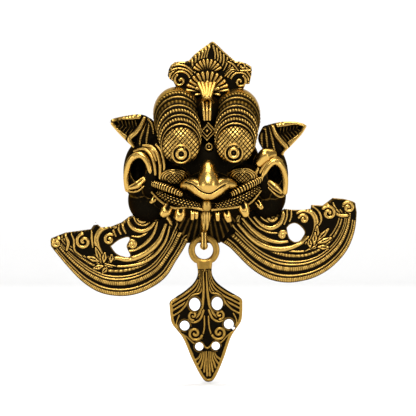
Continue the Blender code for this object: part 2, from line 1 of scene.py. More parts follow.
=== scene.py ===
"""Kirtimukha wall mask in blackened and rubbed brass: the finely carved form and its studio photograph.

The carving is laid out in units of a two-hundredth of the mask's own height: x to the right, d forward from
the wall, z up from the hanging bar.
"""

import math

import bpy
import numpy as np
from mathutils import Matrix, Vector


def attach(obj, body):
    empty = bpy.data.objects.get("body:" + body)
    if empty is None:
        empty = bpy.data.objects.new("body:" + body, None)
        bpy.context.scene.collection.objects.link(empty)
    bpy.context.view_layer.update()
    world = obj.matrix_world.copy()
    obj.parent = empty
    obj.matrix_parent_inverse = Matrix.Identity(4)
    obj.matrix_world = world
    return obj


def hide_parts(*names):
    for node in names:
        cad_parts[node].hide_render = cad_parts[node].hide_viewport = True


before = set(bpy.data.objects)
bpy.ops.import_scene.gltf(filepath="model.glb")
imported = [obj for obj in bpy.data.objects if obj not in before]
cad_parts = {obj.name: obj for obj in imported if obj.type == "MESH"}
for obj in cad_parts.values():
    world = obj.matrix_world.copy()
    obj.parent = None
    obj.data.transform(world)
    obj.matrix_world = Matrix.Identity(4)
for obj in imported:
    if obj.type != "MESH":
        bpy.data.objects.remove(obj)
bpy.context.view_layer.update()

# Antique brass
# The casting was blackened all over and then rubbed, so the ridges are bright brass, the slopes a brown gold
# and the recesses almost black. A "rubbed" value on every point says how far the cloth got to it; on the
# crown it also carries a painted shadow above the petals. The shader darkens it further by how enclosed a
# spot lies, which keeps the hollows blackened and also paints shade into the creases where parts meet.

BLACKENED = (0.006, 0.0045, 0.0025, 1)
BROWN_GOLD = (0.105, 0.058, 0.012, 1)
# How much the mottling adds to a rubbed value, and how much is taken off again so that it goes both ways.
MOTTLING = 0.44
MOTTLING_OFF = 0.23


def add_node(tree, kind, **values):
    """A shader node with its named inputs and settings given at once."""
    node = tree.nodes.new(kind)
    for name, value in values.items():
        if name in node.inputs:
            node.inputs[name].default_value = value
        else:
            setattr(node, name, value)
    return node


def patina_and_shade():
    """A spot's rubbed value times how open it lies, which keeps hollows blackened and paints shade where
    parts meet, with a mottling of the cast added, and fine bumps.
    """
    tree = bpy.data.node_groups.new("patina_and_shade", "ShaderNodeTree")
    link = tree.links.new
    tree.interface.new_socket("Rubbed and shaded", in_out="OUTPUT", socket_type="NodeSocketFloat")
    tree.interface.new_socket("Normal", in_out="OUTPUT", socket_type="NodeSocketVector")
    value = add_node(tree, "ShaderNodeAttribute", attribute_name="rubbed")
    # Ambient occlusion darkens the colour: it keeps the hollows blackened and paints shade into creases where
    # parts meet.
    occlusion_for_shade = add_node(tree, "ShaderNodeAmbientOcclusion", Distance=0.009, samples=8)
    shade_and_blackening = add_node(tree, "ShaderNodeMapRange", interpolation_type="SMOOTHSTEP")
    for name, number in (("From Min", 0.12), ("From Max", 0.62), ("To Min", 0.12)):
        shade_and_blackening.inputs[name].default_value = number
    link(occlusion_for_shade.outputs["AO"], shade_and_blackening.inputs["Value"])
    rubbed_blackened_and_shaded = add_node(tree, "ShaderNodeMath", operation="MULTIPLY")
    link(value.outputs["Fac"], rubbed_blackened_and_shaded.inputs[0])
    link(shade_and_blackening.outputs["Result"], rubbed_blackened_and_shaded.inputs[1])
    place = add_node(tree, "ShaderNodeTexCoord")
    mottle = add_node(tree, "ShaderNodeTexNoise", Scale=330.0, Detail=4.0, Roughness=0.62)
    grain = add_node(tree, "ShaderNodeTexNoise", Scale=1500.0, Detail=3.0, Roughness=0.6)
    for node in (mottle, grain):
        link(place.outputs["Object"], node.inputs["Vector"])
    centred = add_node(tree, "ShaderNodeMath", operation="MULTIPLY_ADD")
    centred.inputs[1].default_value = MOTTLING
    centred.inputs[2].default_value = -MOTTLING_OFF
    link(mottle.outputs["Fac"], centred.inputs[0])
    total = add_node(tree, "ShaderNodeMath", operation="ADD", use_clamp=True)
    link(rubbed_blackened_and_shaded.outputs[0], total.inputs[0])
    link(centred.outputs[0], total.inputs[1])
    lumps = add_node(tree, "ShaderNodeBump", Strength=0.4, Distance=0.0005)
    link(mottle.outputs["Fac"], lumps.inputs["Height"])
    relief = add_node(tree, "ShaderNodeBump", Strength=0.35, Distance=0.00012)
    link(grain.outputs["Fac"], relief.inputs["Height"])
    link(lumps.outputs["Normal"], relief.inputs["Normal"])
    out = add_node(tree, "NodeGroupOutput")
    link(total.outputs[0], out.inputs["Rubbed and shaded"])
    link(relief.outputs["Normal"], out.inputs["Normal"])
    return tree


PATINA_AND_SHADE = patina_and_shade()


def brass(name, bright, rough):
    """Blackened and rubbed brass: black-brown in the recesses, partly painted shade where parts meet, brown
    gold on the slopes, the given brass on the ridges.
    """
    material = bpy.data.materials.new(name)
    material.use_nodes = True
    tree = material.node_tree
    link = tree.links.new
    shader = tree.nodes["Principled BSDF"]
    look = add_node(tree, "ShaderNodeGroup", node_tree=PATINA_AND_SHADE)
    colour = add_node(tree, "ShaderNodeValToRGB")
    stops = colour.color_ramp.elements
    stops[0].position, stops[0].color = 0.16, BLACKENED
    stops[1].position, stops[1].color = 0.86, (*bright, 1)
    middle = stops.new(0.45)
    middle.color = BROWN_GOLD
    link(look.outputs["Rubbed and shaded"], colour.inputs["Fac"])
    link(colour.outputs["Color"], shader.inputs["Base Color"])
    shader.inputs["Specular Tint"].default_value = (0.60, 0.50, 0.34, 1)
    shader.inputs["Metallic"].default_value = 1.0
    dull = add_node(tree, "ShaderNodeMapRange")
    for socket, number in (("From Min", 0.2), ("From Max", 0.9), ("To Min", 0.62), ("To Max", rough)):
        dull.inputs[socket].default_value = number
    link(look.outputs["Rubbed and shaded"], dull.inputs["Value"])
    link(dull.outputs["Result"], shader.inputs["Roughness"])
    link(look.outputs["Normal"], shader.inputs["Normal"])
    return material


cast_brass = brass("cast_brass", (0.56, 0.345, 0.085), 0.25)

# The brows
# Two fat ringed stalks swell out of the forehead and lean down to the eyes. Each has a smooth top, then rope
# rings, thin lines and a ticked band one under another, and a lid of crossed lines over the eye.

MASK_HEIGHT = 0.1333
UNIT = MASK_HEIGHT / 200
# Each brow's middle, half-width and half-height, at its root and at its front.
BROWS = {
    "left": {"centre": ((-31, -1), (-26.5, -35)), "wide": (23.5, 17.8), "tall": (26.0, 18.0)},
    "right": {"centre": ((29.5, -2), (26.5, -34)), "wide": (22.3, 18.0), "tall": (25.5, 18.0)},
}
BROW_START = -4.5
BROW_DEPTH = 53
LID_BULGE = 7
# The carved upper side of a stalk in degrees, its columns, those of the plain underside, and the rows.
UPPER_SIDE = (-35, 215)
UPPER_COLUMNS = 240
UNDER_COLUMNS = 32
BROW_ROWS = 102
# The rings down a stalk: place, half-width, rise, ticks round it, their slant and how bright they are.
BROW_BANDS = (
    (0.040, 0.085, 0.6, 0, 0, 1.0),
    (0.170, 0.030, 1.7, 46, 1.2, 0.9),
    (0.274, 0.017, 1.4, 0, 0, 0.85),
    (0.385, 0.050, 1.1, 34, 0, 0.55),
    (0.475, 0.015, 1.2, 0, 0, 0.8),
    (0.596, 0.040, 2.2, 44, 1.2, 1.05),
    (0.704, 0.016, 1.4, 0, 0, 0.85),
    (0.808, 0.042, 2.2, 42, 1.2, 1.05),
    (0.918, 0.022, 1.8, 0, 0, 1.0),
)


def step(low, high, value):
    """A smooth step from 0 to 1 between two values: three times t squared less twice t cubed."""
    t = np.clip((value - low) / (high - low), 0, 1)
    return t * t * (3 - 2 * t)


def hump(value, middle, half):
    """A round ridge: the height of a half circle, 1 at its middle and 0 from half its width on."""
    return np.sqrt(np.clip(1 - ((value - middle) / half) ** 2, 0, None))


def crossed(x, z, pitch):
    """Diagonal lines both ways: 0 on a line and 1 in the middle of each small diamond between them."""
    return np.minimum(np.abs(np.sin((x + z) * math.pi / pitch)), np.abs(np.sin((x - z) * math.pi / pitch)))


def closed(rings, rubbed):
    """A solid skin over rings of points, with a fan on its first and last ring."""
    rows, columns, _ = rings.shape
    i, j = (k.ravel() for k in np.meshgrid(np.arange(rows - 1), np.arange(columns), indexing="ij"))
    k = (j + 1) % columns
    a, b, c, d = i * columns + j, i * columns + k, (i + 1) * columns + k, (i + 1) * columns + j
    around, beyond = np.arange(columns), (np.arange(columns) + 1) % columns
    first = np.stack([np.full(columns, rows * columns), beyond, around], 1)
    base = (rows - 1) * columns
    last = np.stack([np.full(columns, rows * columns + 1), base + around, base + beyond], 1)
    faces = np.concatenate([np.stack([a, b, c], 1), np.stack([a, c, d], 1), first, last])
    points = np.concatenate([rings.reshape(-1, 3), rings[:1].mean(1), rings[-1:].mean(1)])
    values = np.concatenate([rubbed.ravel(), rubbed[:1].mean(1), rubbed[-1:].mean(1)])
    return points, faces, values


def outward(rings):
    """Unit normals of a ringed surface, away from the middles of its rings."""
    normal = np.cross(np.roll(rings, -1, 1) - np.roll(rings, 1, 1), np.gradient(rings, axis=0))
    normal /= np.maximum(np.linalg.norm(normal, axis=2, keepdims=True), 1e-9)
    return normal * np.sign((normal * (rings - rings.mean(1, keepdims=True))).sum())


def solid(name, shells):
    """An object from closed shells in layout units, each turned to face out, with its rubbed values."""
    points, faces, values, base = [], [], [], 0
    for places, corners, rubbed in shells:
        spots = places * (UNIT, -UNIT, UNIT)
        a, b, c = (spots[corners[:, k]] for k in range(3))
        volume = np.einsum("ij,ij->", a, np.cross(b, c))
        points.append(spots)
        faces.append((corners[:, ::-1] if volume < 0 else corners) + base)
        values.append(rubbed)
        base += len(places)
    mesh = bpy.data.meshes.new(name)
    mesh.from_pydata(np.concatenate(points), [], np.concatenate(faces))
    mesh.attributes.new("rubbed", "FLOAT", "POINT").data.foreach_set(
        "value", np.clip(np.concatenate(values), 0, 1).astype(np.float32)
    )
    mesh.shade_smooth()
    item = bpy.data.objects.new(name, mesh)
    bpy.context.scene.collection.objects.link(item)
    return item


def combine(base, others, operation):
    """Joins the other solids to the base or cuts them out of it. The rubbed values stay on both."""
    operands = bpy.data.collections.new("operands")
    bpy.context.scene.collection.children.link(operands)
    for other in others:
        bpy.context.scene.collection.objects.unlink(other)
        operands.objects.link(other)
    modifier = base.modifiers.new("combine", "BOOLEAN")
    modifier.operation = operation
    modifier.operand_type = "COLLECTION"
    modifier.collection = operands
    modifier.solver = "MANIFOLD"
    bpy.context.view_layer.update()
    mesh = bpy.data.meshes.new_from_object(base.evaluated_get(bpy.context.evaluated_depsgraph_get()))
    base.modifiers.clear()
    base.data = mesh
    for other in others:
        bpy.data.objects.remove(other)
    bpy.data.collections.remove(operands)
    return base


def stalk(shape, inset, rows, turns):
    """Rings of a brow from behind the wall to its front, on a quarter circle in depth, and their shares."""
    share = 1 - np.cos(np.linspace(0, math.pi / 2, rows))
    (x0, z0), (x1, z1) = shape["centre"]
    x, z = x0 + (x1 - x0) * share, z0 + (z1 - z0) * share
    wide, tall = ((a + (b - a) * share - inset) for a, b in (shape["wide"], shape["tall"]))
    depth = BROW_START + (BROW_DEPTH - BROW_START) * np.sqrt(1 - (1 - share) ** 2) - inset
    rings = np.stack(
        [
            x[:, None] + wide[:, None] * np.cos(turns),
            np.broadcast_to(depth[:, None], (rows, len(turns))),
            z[:, None] + tall[:, None] * np.sin(turns),
        ],
        2,
    )
    front = rings[-1:]
    middle = front.mean(1, keepdims=True)
    lift = np.radians(np.linspace(0, 88, rows // 3))[1:, None, None]
    lid = middle + (front - middle) * np.cos(lift) + np.array([0, LID_BULGE, 0]) * np.sin(lift)
    place = np.concatenate([share, 1 + np.linspace(0, 1, rows // 3)[1:]])
    return np.concatenate([rings, lid]), place[:, None] + 0 * turns


def brow(shape):
    """A stalk raised by its bands, each a hump down the stalk times a cosine round it, with a woven lid."""
    first, last = UPPER_SIDE
    upper = np.radians(np.linspace(first, last, UPPER_COLUMNS))
    under = np.radians(np.linspace(last, first + 360, UNDER_COLUMNS))[1:-1]
    turns = np.concatenate([upper, under])
    rings, place = stalk(shape, 0, BROW_ROWS, turns)
    normal = outward(rings)
    rise = np.zeros(place.shape)
    rubbed = np.full(place.shape, 0.02)
    for middle, half, tall, ticks, slant, shine in BROW_BANDS:
        body = hump(place, middle, half)
        comb = 0.5 + 0.5 * np.cos(ticks * turns + slant * (place - middle) / half) if ticks else 1.0
        rise += tall * body * (0.6 + 0.4 * comb)
        rubbed += shine * body**1.6 * (0.40 + 0.52 * comb)
    rubbed = np.maximum(rubbed, 0.9 * step(0.125, 0.100, place))
    lid = place > 1.0
    rising = np.abs(np.sin((rings[..., 0] - 0.9 * rings[..., 2]) * math.pi / 4.0))
    falling = np.abs(np.sin((rings[..., 0] + 0.9 * rings[..., 2]) * math.pi / 5.0))
    weave = step(0.22, 0.62, rising) * (0.35 + 0.65 * step(0.15, 0.5, falling))
    upper_lid = step(-53, -43, rings[..., 2])
    rise += 0.8 * weave * lid
    rubbed = np.where(lid, 0.03 + 0.84 * weave * upper_lid, rubbed)
    return closed(rings + normal * rise[..., None], rubbed)


brow_pieces = [solid(f"mask_brow_{side}", [brow(shape)]) for side, shape in BROWS.items()]

# The eyes
# Each is a round boss cast with the face, with a bright outer ring, a black groove, a broad bright ring and a
# dark pupil.

EYES = ((-26.3, -43), (25.3, -42))
EYE_PROFILE = (
    (0.0, 61.6, 0.35), (0.7, 61.5, 0.30), (1.2, 61.2, 0.05), (2.5, 61.2, 0.05), (2.9, 62.4, 0.85),
    (4.4, 62.9, 0.95), (5.6, 62.2, 0.85), (5.9, 60.6, 0.05), (7.5, 60.0, 0.05), (7.8, 61.2, 0.80),
    (8.7, 61.8, 0.95), (9.6, 60.8, 0.85), (9.9, 59.5, 0.50), (10.0, 48.0, 0.05),
)


def turned(x, z, profile, rows, columns):
    """A round form about a line straight out from the wall, its profile given as (radius, depth, rubbed)."""
    profile = np.array(profile)
    run = np.concatenate([[0], np.cumsum(np.linalg.norm(np.diff(profile[:, :2], axis=0), axis=1))])
    even = np.linspace(0, run[-1], rows)
    radius, depth, rubbed = (np.interp(even, run, profile[:, k]) for k in range(3))
    radius = np.maximum(radius, 0.02)
    turns = np.linspace(0, 2 * math.pi, columns, endpoint=False)
    across, up = (radius[:, None] * wave(turns) for wave in (np.cos, np.sin))
    rings = np.stack([x + across, depth[:, None] + 0 * turns, z + up], 2)
    return closed(rings, rubbed[:, None] + 0 * turns)


eyes = [turned(x, z, EYE_PROFILE, 58, 60) for x, z in EYES]

# The face
# One hollow mass behind the eyes with cheek pads, cheekbones, muzzle, jaw and jowls swelling out of it. The
# hollows of the cheek scrolls are sunk into its sides, and its surface is left dark. The pads are carved with
# arcs over crossed lines.

# Each form has its middle and then its radii across, forward and up.
CORE = ((0, 4, -54), (52, 38, 47))
JOWLS = (((-60, 0.5, -88), (20, 21, 23)), ((58.5, 0.5, -84), (19.5, 21, 23)))
PADS = (((-33, 27.5, -66), (17, 20, 13)), ((34, 27.5, -65), (17, 20, 13)))
MASSES = (
    ((-0.6, 20, -4), (15, 27, 21)),
    ((-57, 13, -62), (15, 26, 26)),
    ((56, 13, -64), (15, 26, 25)),
    ((0.7, 34.5, -76), (25, 26, 17)),
    ((-0.8, 21, -88), (54, 25, 19)),
    ((-50, 10, -36), (11, 18, 12)),
    *JOWLS,
    ((-67, 2.5, -60), (17.6, 31, 31)),
    ((62.5, 2.5, -63), (17.6, 31, 30)),
)
SCROLL_HOLLOWS = (((-70, 38, -58), (8.6, 19, 13)), ((67.5, 38, -63), (9.0, 19, 12)))
WALL = 0.004 / UNIT
SNOUT_HOLLOW = ((0, 34, -72), (9, 24, 12))
FOREHEAD_HOLLOW = ((-0.6, 8, -8), (11, 28, 22))
PAD_ARCS = (0.66, 0.84, 1.02)
CUT_FACE_RUBBED = 0.45


def ball(centre, radii, rows=30, columns=60):
    """Rings of an ellipsoid about a line straight out from the wall."""
    lift = np.linspace(0.02, math.pi - 0.02, rows)[:, None]
    turns = np.linspace(0, 2 * math.pi, columns, endpoint=False)
    shape = [np.sin(lift) * np.cos(turns), np.cos(lift) + 0 * turns, np.sin(lift) * np.sin(turns)]
    return np.stack([c + r * s for c, r, s in zip(centre, radii, shape, strict=True)], 2)


def pad(centre, radii):
    """A cheek pad: three arcs round its upper edge and crossed lines inside them."""
    rings = ball(centre, radii, 90, 150)
    x, z = rings[..., 0] - centre[0], rings[..., 2] - centre[2]
    reach = np.hypot(x / 14, (z + 1) / 8.5)
    arcs = sum(hump(reach, place, 0.065) for place in PAD_ARCS) * step(-5, 1, z)
    weave = 0.62 * step(0.2, 0.6, crossed(x, z, 3.7)) * (reach < 0.57)
    front = rings[..., 1] > centre[1]
    carved = np.where(front, np.maximum(arcs, weave), 0)
    return closed(rings + outward(rings) * carved[..., None], 0.04 + 0.93 * carved)


def plain(forms, rubbed):
    """A plain ellipsoid from each centre and radii, all rubbed to one value."""
    masses = []
    for form in forms:
        rings = ball(*form)
        masses.append(solid("mass", [closed(rings, np.full(rings.shape[:2], rubbed))]))
    return masses


def hollow():
    """The space behind the face, open to the wall: the main forms again, a wall's thickness inside them."""
    inner = [(centre, [r - WALL for r in radii]) for centre, radii in (CORE, *JOWLS)]
    space = plain([*inner, SNOUT_HOLLOW, FOREHEAD_HOLLOW], 0.4)
    turns = np.linspace(0, 2 * math.pi, 48, endpoint=False)
    for shape in BROWS.values():
        rings, place = stalk(shape, WALL, 30, turns)
        space.append(solid("space", [closed(rings, 0 * place)]))
    return space


def block(low, high):
    """A plain box between two corners."""
    spans = zip(low, high, strict=True)
    corners = np.stack(np.meshgrid(*spans, indexing="ij"), 3).reshape(-1, 3)
    sides = ((0, 1, 3, 2), (4, 6, 7, 5), (0, 4, 5, 1), (2, 3, 7, 6), (0, 2, 6, 4), (1, 5, 7, 3))
    faces = [corner for a, b, c, d in sides for corner in ((a, b, c), (a, c, d))]
    return corners.astype(float), np.array(faces), np.full(8, 0.6)


def opened(item):
    """Opens a piece from behind and cuts it off flat at the wall. The cut faces are half rubbed."""
    behind = solid("behind", [block((-300, -60, -300), (300, 0, 200))])
    combine(item, [*hollow(), behind], "DIFFERENCE")
    rubbed = item.data.attributes["rubbed"].data
    values = np.zeros(len(rubbed), np.float32)
    rubbed.foreach_get("value", values)
    rubbed.foreach_set("value", np.where(values < 0.005, CUT_FACE_RUBBED, values).astype(np.float32))
    return item


face = solid("mask_face", [closed(ball(*CORE, 60, 120), np.full((60, 120), 0.10))])
pads = [solid("pad", [pad(*form)]) for form in PADS]
combine(face, [*plain(MASSES, 0.12), *pads], "UNION")
combine(face, plain(SCROLL_HOLLOWS, 0.02), "DIFFERENCE")

# The snout
# A polished nose over a beak-like lip that runs in one V from side to side. A black line is cut between them
# with a graver.

NOSE = [(0, 43, -51), (0, 51.5, -56), (0.3, 57.8, -65), (0.5, 60.8, -74), (0.5, 58, -82)]
BEAK = [
    (-27, 47, -74.5), (-17, 54, -72.6), (-8.5, 59, -76.5), (0, 62, -80.5), (8.5, 59, -76.5), (17, 54, -72),
    (28, 47, -74),
]
GROOVE = [(-22.4, -70.6), (-15.1, -73), (-8, -78.8), (-0.9, -81.7), (4.5, -81), (10.5, -77), (17.1, -73)]


def flow(points, count):
    """Even steps along the cubics through points. At a point, the slope is half its neighbours' step."""
    ends = np.array([points[0], *points, points[-1]], float)
    place = np.linspace(0, len(points) - 1, count)
    k = np.minimum(place.astype(int), len(points) - 2)
    t = (place - k)[:, None]
    a, b, c, d = (ends[k + n] for n in range(4))
    return b + ((c - a) * t + (2 * a - 5 * b + 4 * c - d) * t**2 + (3 * b - a - 3 * c + d) * t**3) / 2


def sweep(points, radii, rows, columns, aside=(0, 1, 0), flat=1.0):
    """Rings along a curve, with its radii, round ends and a section flattened by a share towards aside."""
    path = flow(points, rows)
    share = np.linspace(0, 1, rows)
    radius = np.interp(share, np.linspace(0, 1, len(radii)), radii)
    run = np.linalg.norm(np.diff(path, axis=0), axis=1).sum()
    for end, distance in ((radii[0], share * run), (radii[-1], (1 - share) * run)):
        near_end = np.clip(1 - distance / max(end, 0.3), 0, 1)
        radius = radius * np.sqrt(np.maximum(1 - near_end**2, 0.003))
    heading = np.gradient(path, axis=0)
    heading /= np.linalg.norm(heading, axis=1, keepdims=True)
    across = np.cross(heading, aside)
    across /= np.linalg.norm(across, axis=1, keepdims=True)
    front = np.cross(across, heading)
    turns = np.linspace(0, 2 * math.pi, columns, endpoint=False)
    ring = across[:, None] * np.cos(turns)[:, None] + front[:, None] * (flat * np.sin(turns))[:, None]
    rings = path[:, None] + radius[:, None, None] * ring
    return rings, share[:, None] + 0 * turns, 0 * share[:, None] + turns


def near(spots, line):
    """Each spot's distance to a line, how far along that is, on which side, and the line's nearest spot."""
    start, run = line[:-1], np.diff(line, axis=0)
    size = np.maximum((run**2).sum(1), 1e-12)
    offset = spots[:, None] - start
    share = np.clip((offset * run).sum(2) / size, 0, 1)
    gaps = np.linalg.norm(offset - share[..., None] * run, axis=2)
    k = gaps.argmin(1)
    row = np.arange(len(spots))
    length = np.concatenate([[0], np.cumsum(np.sqrt(size))])
    side = np.sign(run[k, 0] * offset[row, k, 1] - run[k, 1] * offset[row, k, 0])
    along = length[k] + share[row, k] * np.sqrt(size)[k]
    return gaps[row, k], along, side, start[k] + share[row, k, None] * run[k]


def cut_line(rings, rubbed, line, half, deep):
    """Cuts a line into the front of a surface: a groove along the line seen from in front, black inside."""
    spots = rings.reshape(-1, 3)
    gap = near(spots[:, [0, 2]], flow(line, 40))[0].reshape(rubbed.shape)
    cut = np.exp(-((gap / half) ** 2))
    black = np.exp(-((gap / (1.25 * half)) ** 4))
    return rings - np.array([0, 1, 0]) * (deep * cut)[..., None], rubbed * (1 - 1.05 * black)


def snout():
    """The nose and the beak, swept along their lines and polished, with the groove cut into both."""
    nose = sweep(NOSE, [3.5, 7.4, 9.9, 11.2, 7.4], 80, 90, aside=(1, 0, 0))[0]
    beak = sweep(BEAK, [2.6, 7.0, 8.2, 7.8, 8.2, 7.0, 2.6], 130, 84)[0]
    shells = []
    for rings in (nose, beak):
        shine = np.full(rings.shape[:2], 0.97)
        shells.append(closed(*cut_line(rings, shine, GROOVE, 0.62, 2.0)))
    return shells


# The mouth
# A grin from cheek to cheek: a hatched roll of lip, a beaded gum and a thin edge under it, the nub in the
# middle, and curled teeth that are bright at the rim and black in the cup.

# Each roll has its points from the cheek to the middle, its radii along them and the pitch of its ticks. The
# gums and teeth have points and radii.
ROLLS = (
    ([(-55, 34, -71.5), (-41, 44, -76), (-25, 52, -83)], [3.0, 4.0, 2.8], 2.6),
    ([(54, 34, -66.5), (40, 44, -73.5), (22, 52, -83)], [3.0, 4.0, 2.8], 2.6),
)
GUMS = (
    ([(-50, 34, -80), (-37, 43.5, -87), (-20, 50, -92), (-6, 52, -94)], [2.2, 4.0, 3.8, 2.4]),
    ([(51, 34, -75.5), (38, 43.5, -84), (22, 50, -91), (7, 52, -94)], [2.2, 4.0, 3.8, 2.4]),
)
BEAD_PITCH = 3.2
GUM_ROWS = 5
EDGES = (
    [(-57, 30, -79), (-46, 39, -90), (-33, 47, -96), (-18, 51, -95), (-4, 54, -98)],
    [(56, 30, -74), (43, 39, -90), (31, 47, -94.5), (16, 51, -96.5), (3, 54, -98)],
)
NUB = [(-1, 56, -88), (-1.2, 56.2, -93), (-1.4, 54.5, -99)]
TEETH = (
    ([(-51, 31, -84), (-54, 34, -88), (-57.5, 35, -91)], [3.2, 2.6, 1.0]),
    ([(-37, 41, -92), (-41.5, 46, -99), (-46.5, 47, -104)], [5.4, 5.6, 2.2]),
    ([(-26, 44, -94), (-27.5, 48.5, -102), (-30, 49.5, -109)], [5.2, 5.4, 3.2]),
    ([(-15, 42, -92), (-15, 49, -100), (-15.5, 49.5, -108)], [2.4, 2.4, 1.4]),
    ([(-11, 42, -92), (-11, 49, -100), (-11.5, 49.5, -107)], [2.0, 2.0, 1.2]),
    ([(8.5, 42, -92), (9.3, 49, -101), (9.8, 49.5, -109)], [2.6, 2.5, 1.5]),
    ([(16, 41, -94), (19, 48, -103), (21.5, 48, -110)], [4.2, 4.0, 2.2]),
    ([(33, 42, -90), (36, 46.5, -98), (38, 47.5, -105)], [6.4, 5.4, 2.0]),
    ([(47, 31, -88), (51, 34, -93), (54, 35, -97)], [3.2, 3.0, 1.7]),
)


def rod(points, radii, rows, columns, rubbed):
    """A plain round rod along a curve, rubbed to one value."""
    rings, share, turns = sweep(points, radii, rows, columns)
    return closed(rings, rubbed + 0 * share)


def curve_length(points):
    """The sum of the steps along a curve through points."""
    return np.linalg.norm(np.diff(flow(points, 60), axis=0), axis=1).sum()


def roll(points, radii, pitch):
    """A roll of lip: a cosine along it makes ticks, which lean a little as they go round."""
    rings, share, turns = sweep(points, radii, 150, 40)
    ticks = 0.5 + 0.5 * np.cos(2 * math.pi * share * curve_length(points) / pitch + 0.5 * np.sin(turns))
    raised = rings + outward(rings) * (0.7 * ticks - 0.5)[..., None]
    return closed(raised, 0.06 + 0.9 * step(0.25, 0.8, ticks))


def gum(points, radii):
    """A gum of small beads: waves along it and round it, with every second row moved on by half a bead."""
    rings, share, turns = sweep(points, radii, 130, 50)
    row = np.floor(turns * GUM_ROWS / math.pi) % 2
    beads = np.abs(np.cos(math.pi * share * curve_length(points) / BEAD_PITCH + math.pi * row / 2))
    beads *= np.abs(np.sin(turns * GUM_ROWS))
    return closed(rings + outward(rings) * (beads - 0.4)[..., None], 0.03 + 0.85 * step(0.4, 0.85, beads))


def tooth(points, radii):
    """A curled tooth: a bright crescent of rim round a black cup that opens at its root."""
    rings, share, turns = sweep(points, radii, 30, 28, flat=0.8)
    facing = np.clip(np.sin(turns), 0, 1)
    cup = step(0.80, 1.0, facing) * step(0.66, 0.40, share)
    return closed(rings - outward(rings) * (1.4 * cup)[..., None], 0.95 - 0.95 * cup)


def mouth():
    """The rolls, gums, edges and teeth of the grin, and the nub between the two gums."""
    shells = [roll(*form) for form in ROLLS]
    shells += [gum(*form) for form in GUMS]
    shells += [rod(points, [0.9, 1.3, 1.3], 80, 14, 0.75) for points in EDGES]
    shells += [tooth(*form) for form in TEETH]
    return [*shells, rod(NUB, [4.2, 4.6, 5.2], 30, 40, 0.72)]


# The cheek scrolls
# The sides bulge into a big curl on each side: a smooth outer roll arches over a black hollow, thin ridges
# follow it above, and a blade-like tusk crosses the hollow with a fine ridge under it.

CURLS = (
    {
        "arch": [
            (-79.5, 20, -80), (-81, 26, -66), (-79, 30, -54), (-74.5, 34, -46.5), (-67.5, 36, -43.6),
            (-61.5, 37, -48), (-58, 37, -56), (-56.5, 36, -68),
        ],
        "ridges": (
            [(-74, 27, -40), (-64.6, 33, -37.6), (-58, 36, -41.5), (-53.5, 38, -51), (-52, 37, -64)],
            [(-65, 31, -34), (-56, 36, -35.5), (-50.2, 38, -42), (-47.5, 39, -53), (-47.5, 38, -68)],
            [(-52, 35, -33), (-46, 38, -40), (-43.5, 38, -51), (-43.5, 37, -61)],
        ),
        "tusk": [(-62, 35, -66), (-70, 38.5, -73), (-78.5, 36.5, -76.4)],
        "under": [(-81, 34, -77.5), (-76, 36, -80), (-69, 37, -79), (-63, 36, -74)],
    },
    {
        "arch": [
            (76, 20, -83), (76.6, 26, -69), (74.5, 31, -59), (71, 35, -52.8), (66, 36.5, -50.3),
            (61, 37, -53.3), (56.5, 37, -60), (53, 36, -69),
        ],
        "ridges": (
            [(74, 27, -50), (67.5, 33, -45.6), (62, 36, -46.6), (56, 38, -53), (51, 37, -62)],
            [(75, 25, -53.5), (70, 32, -47.8), (64.5, 36.4, -47.6), (58.5, 38, -53.5), (53, 37, -65)],
            [(50, 38, -56), (47, 38, -62), (45.5, 37, -68)],
        ),
        "tusk": [(59, 35, -69), (66, 38.5, -75), (73.5, 36.5, -81.4)],
        "under": [(59, 34.5, -75), (65, 37, -81), (71, 37, -85), (75.5, 35, -84)],
    },
)


def curls():
    """Each side's arch, ridges, creased tusk and the ridge under it, then a knuckle at the top of each."""
    shells = []
    for shape in CURLS:
        shells.append(rod(shape["arch"], [2.8, 3.3, 3.4, 3.0, 2.2], 100, 30, 0.90))
        shells += [rod(points, [1.2, 1.9, 1.4], 90, 20, 0.80) for points in shape["ridges"]]
        rings, share, turns = sweep(shape["tusk"], [2.6, 3.7, 1.6], 50, 36, flat=0.8)
        crease = hump(turns, math.pi * 0.62, 0.45) * step(0.0, 0.3, share) * step(1.0, 0.75, share)
        shells.append(closed(rings - outward(rings) * (0.8 * crease)[..., None], 0.93 - 0.6 * crease))
        shells.append(rod(shape["under"], [0.7, 1.1, 0.7], 50, 14, 0.72))
    shells.append(rod([(67, 30, -42), (56, 37, -44.5), (48.5, 38, -55)], [3.5, 7.2, 2.6], 60, 40, 0.93))
    shells.append(rod([(-62, 31, -37), (-55, 36, -39), (-51, 37, -50)], [1.2, 2.8, 1.2], 50, 30, 0.80))
    return shells


features = solid("mask_features", eyes + snout() + mouth() + curls())

# The ears
# Two pointed leaves, each dished like a cup, with a bright rim, a folded lip at its root, and veins that run
# out from its middle. They stand clear of the wall.


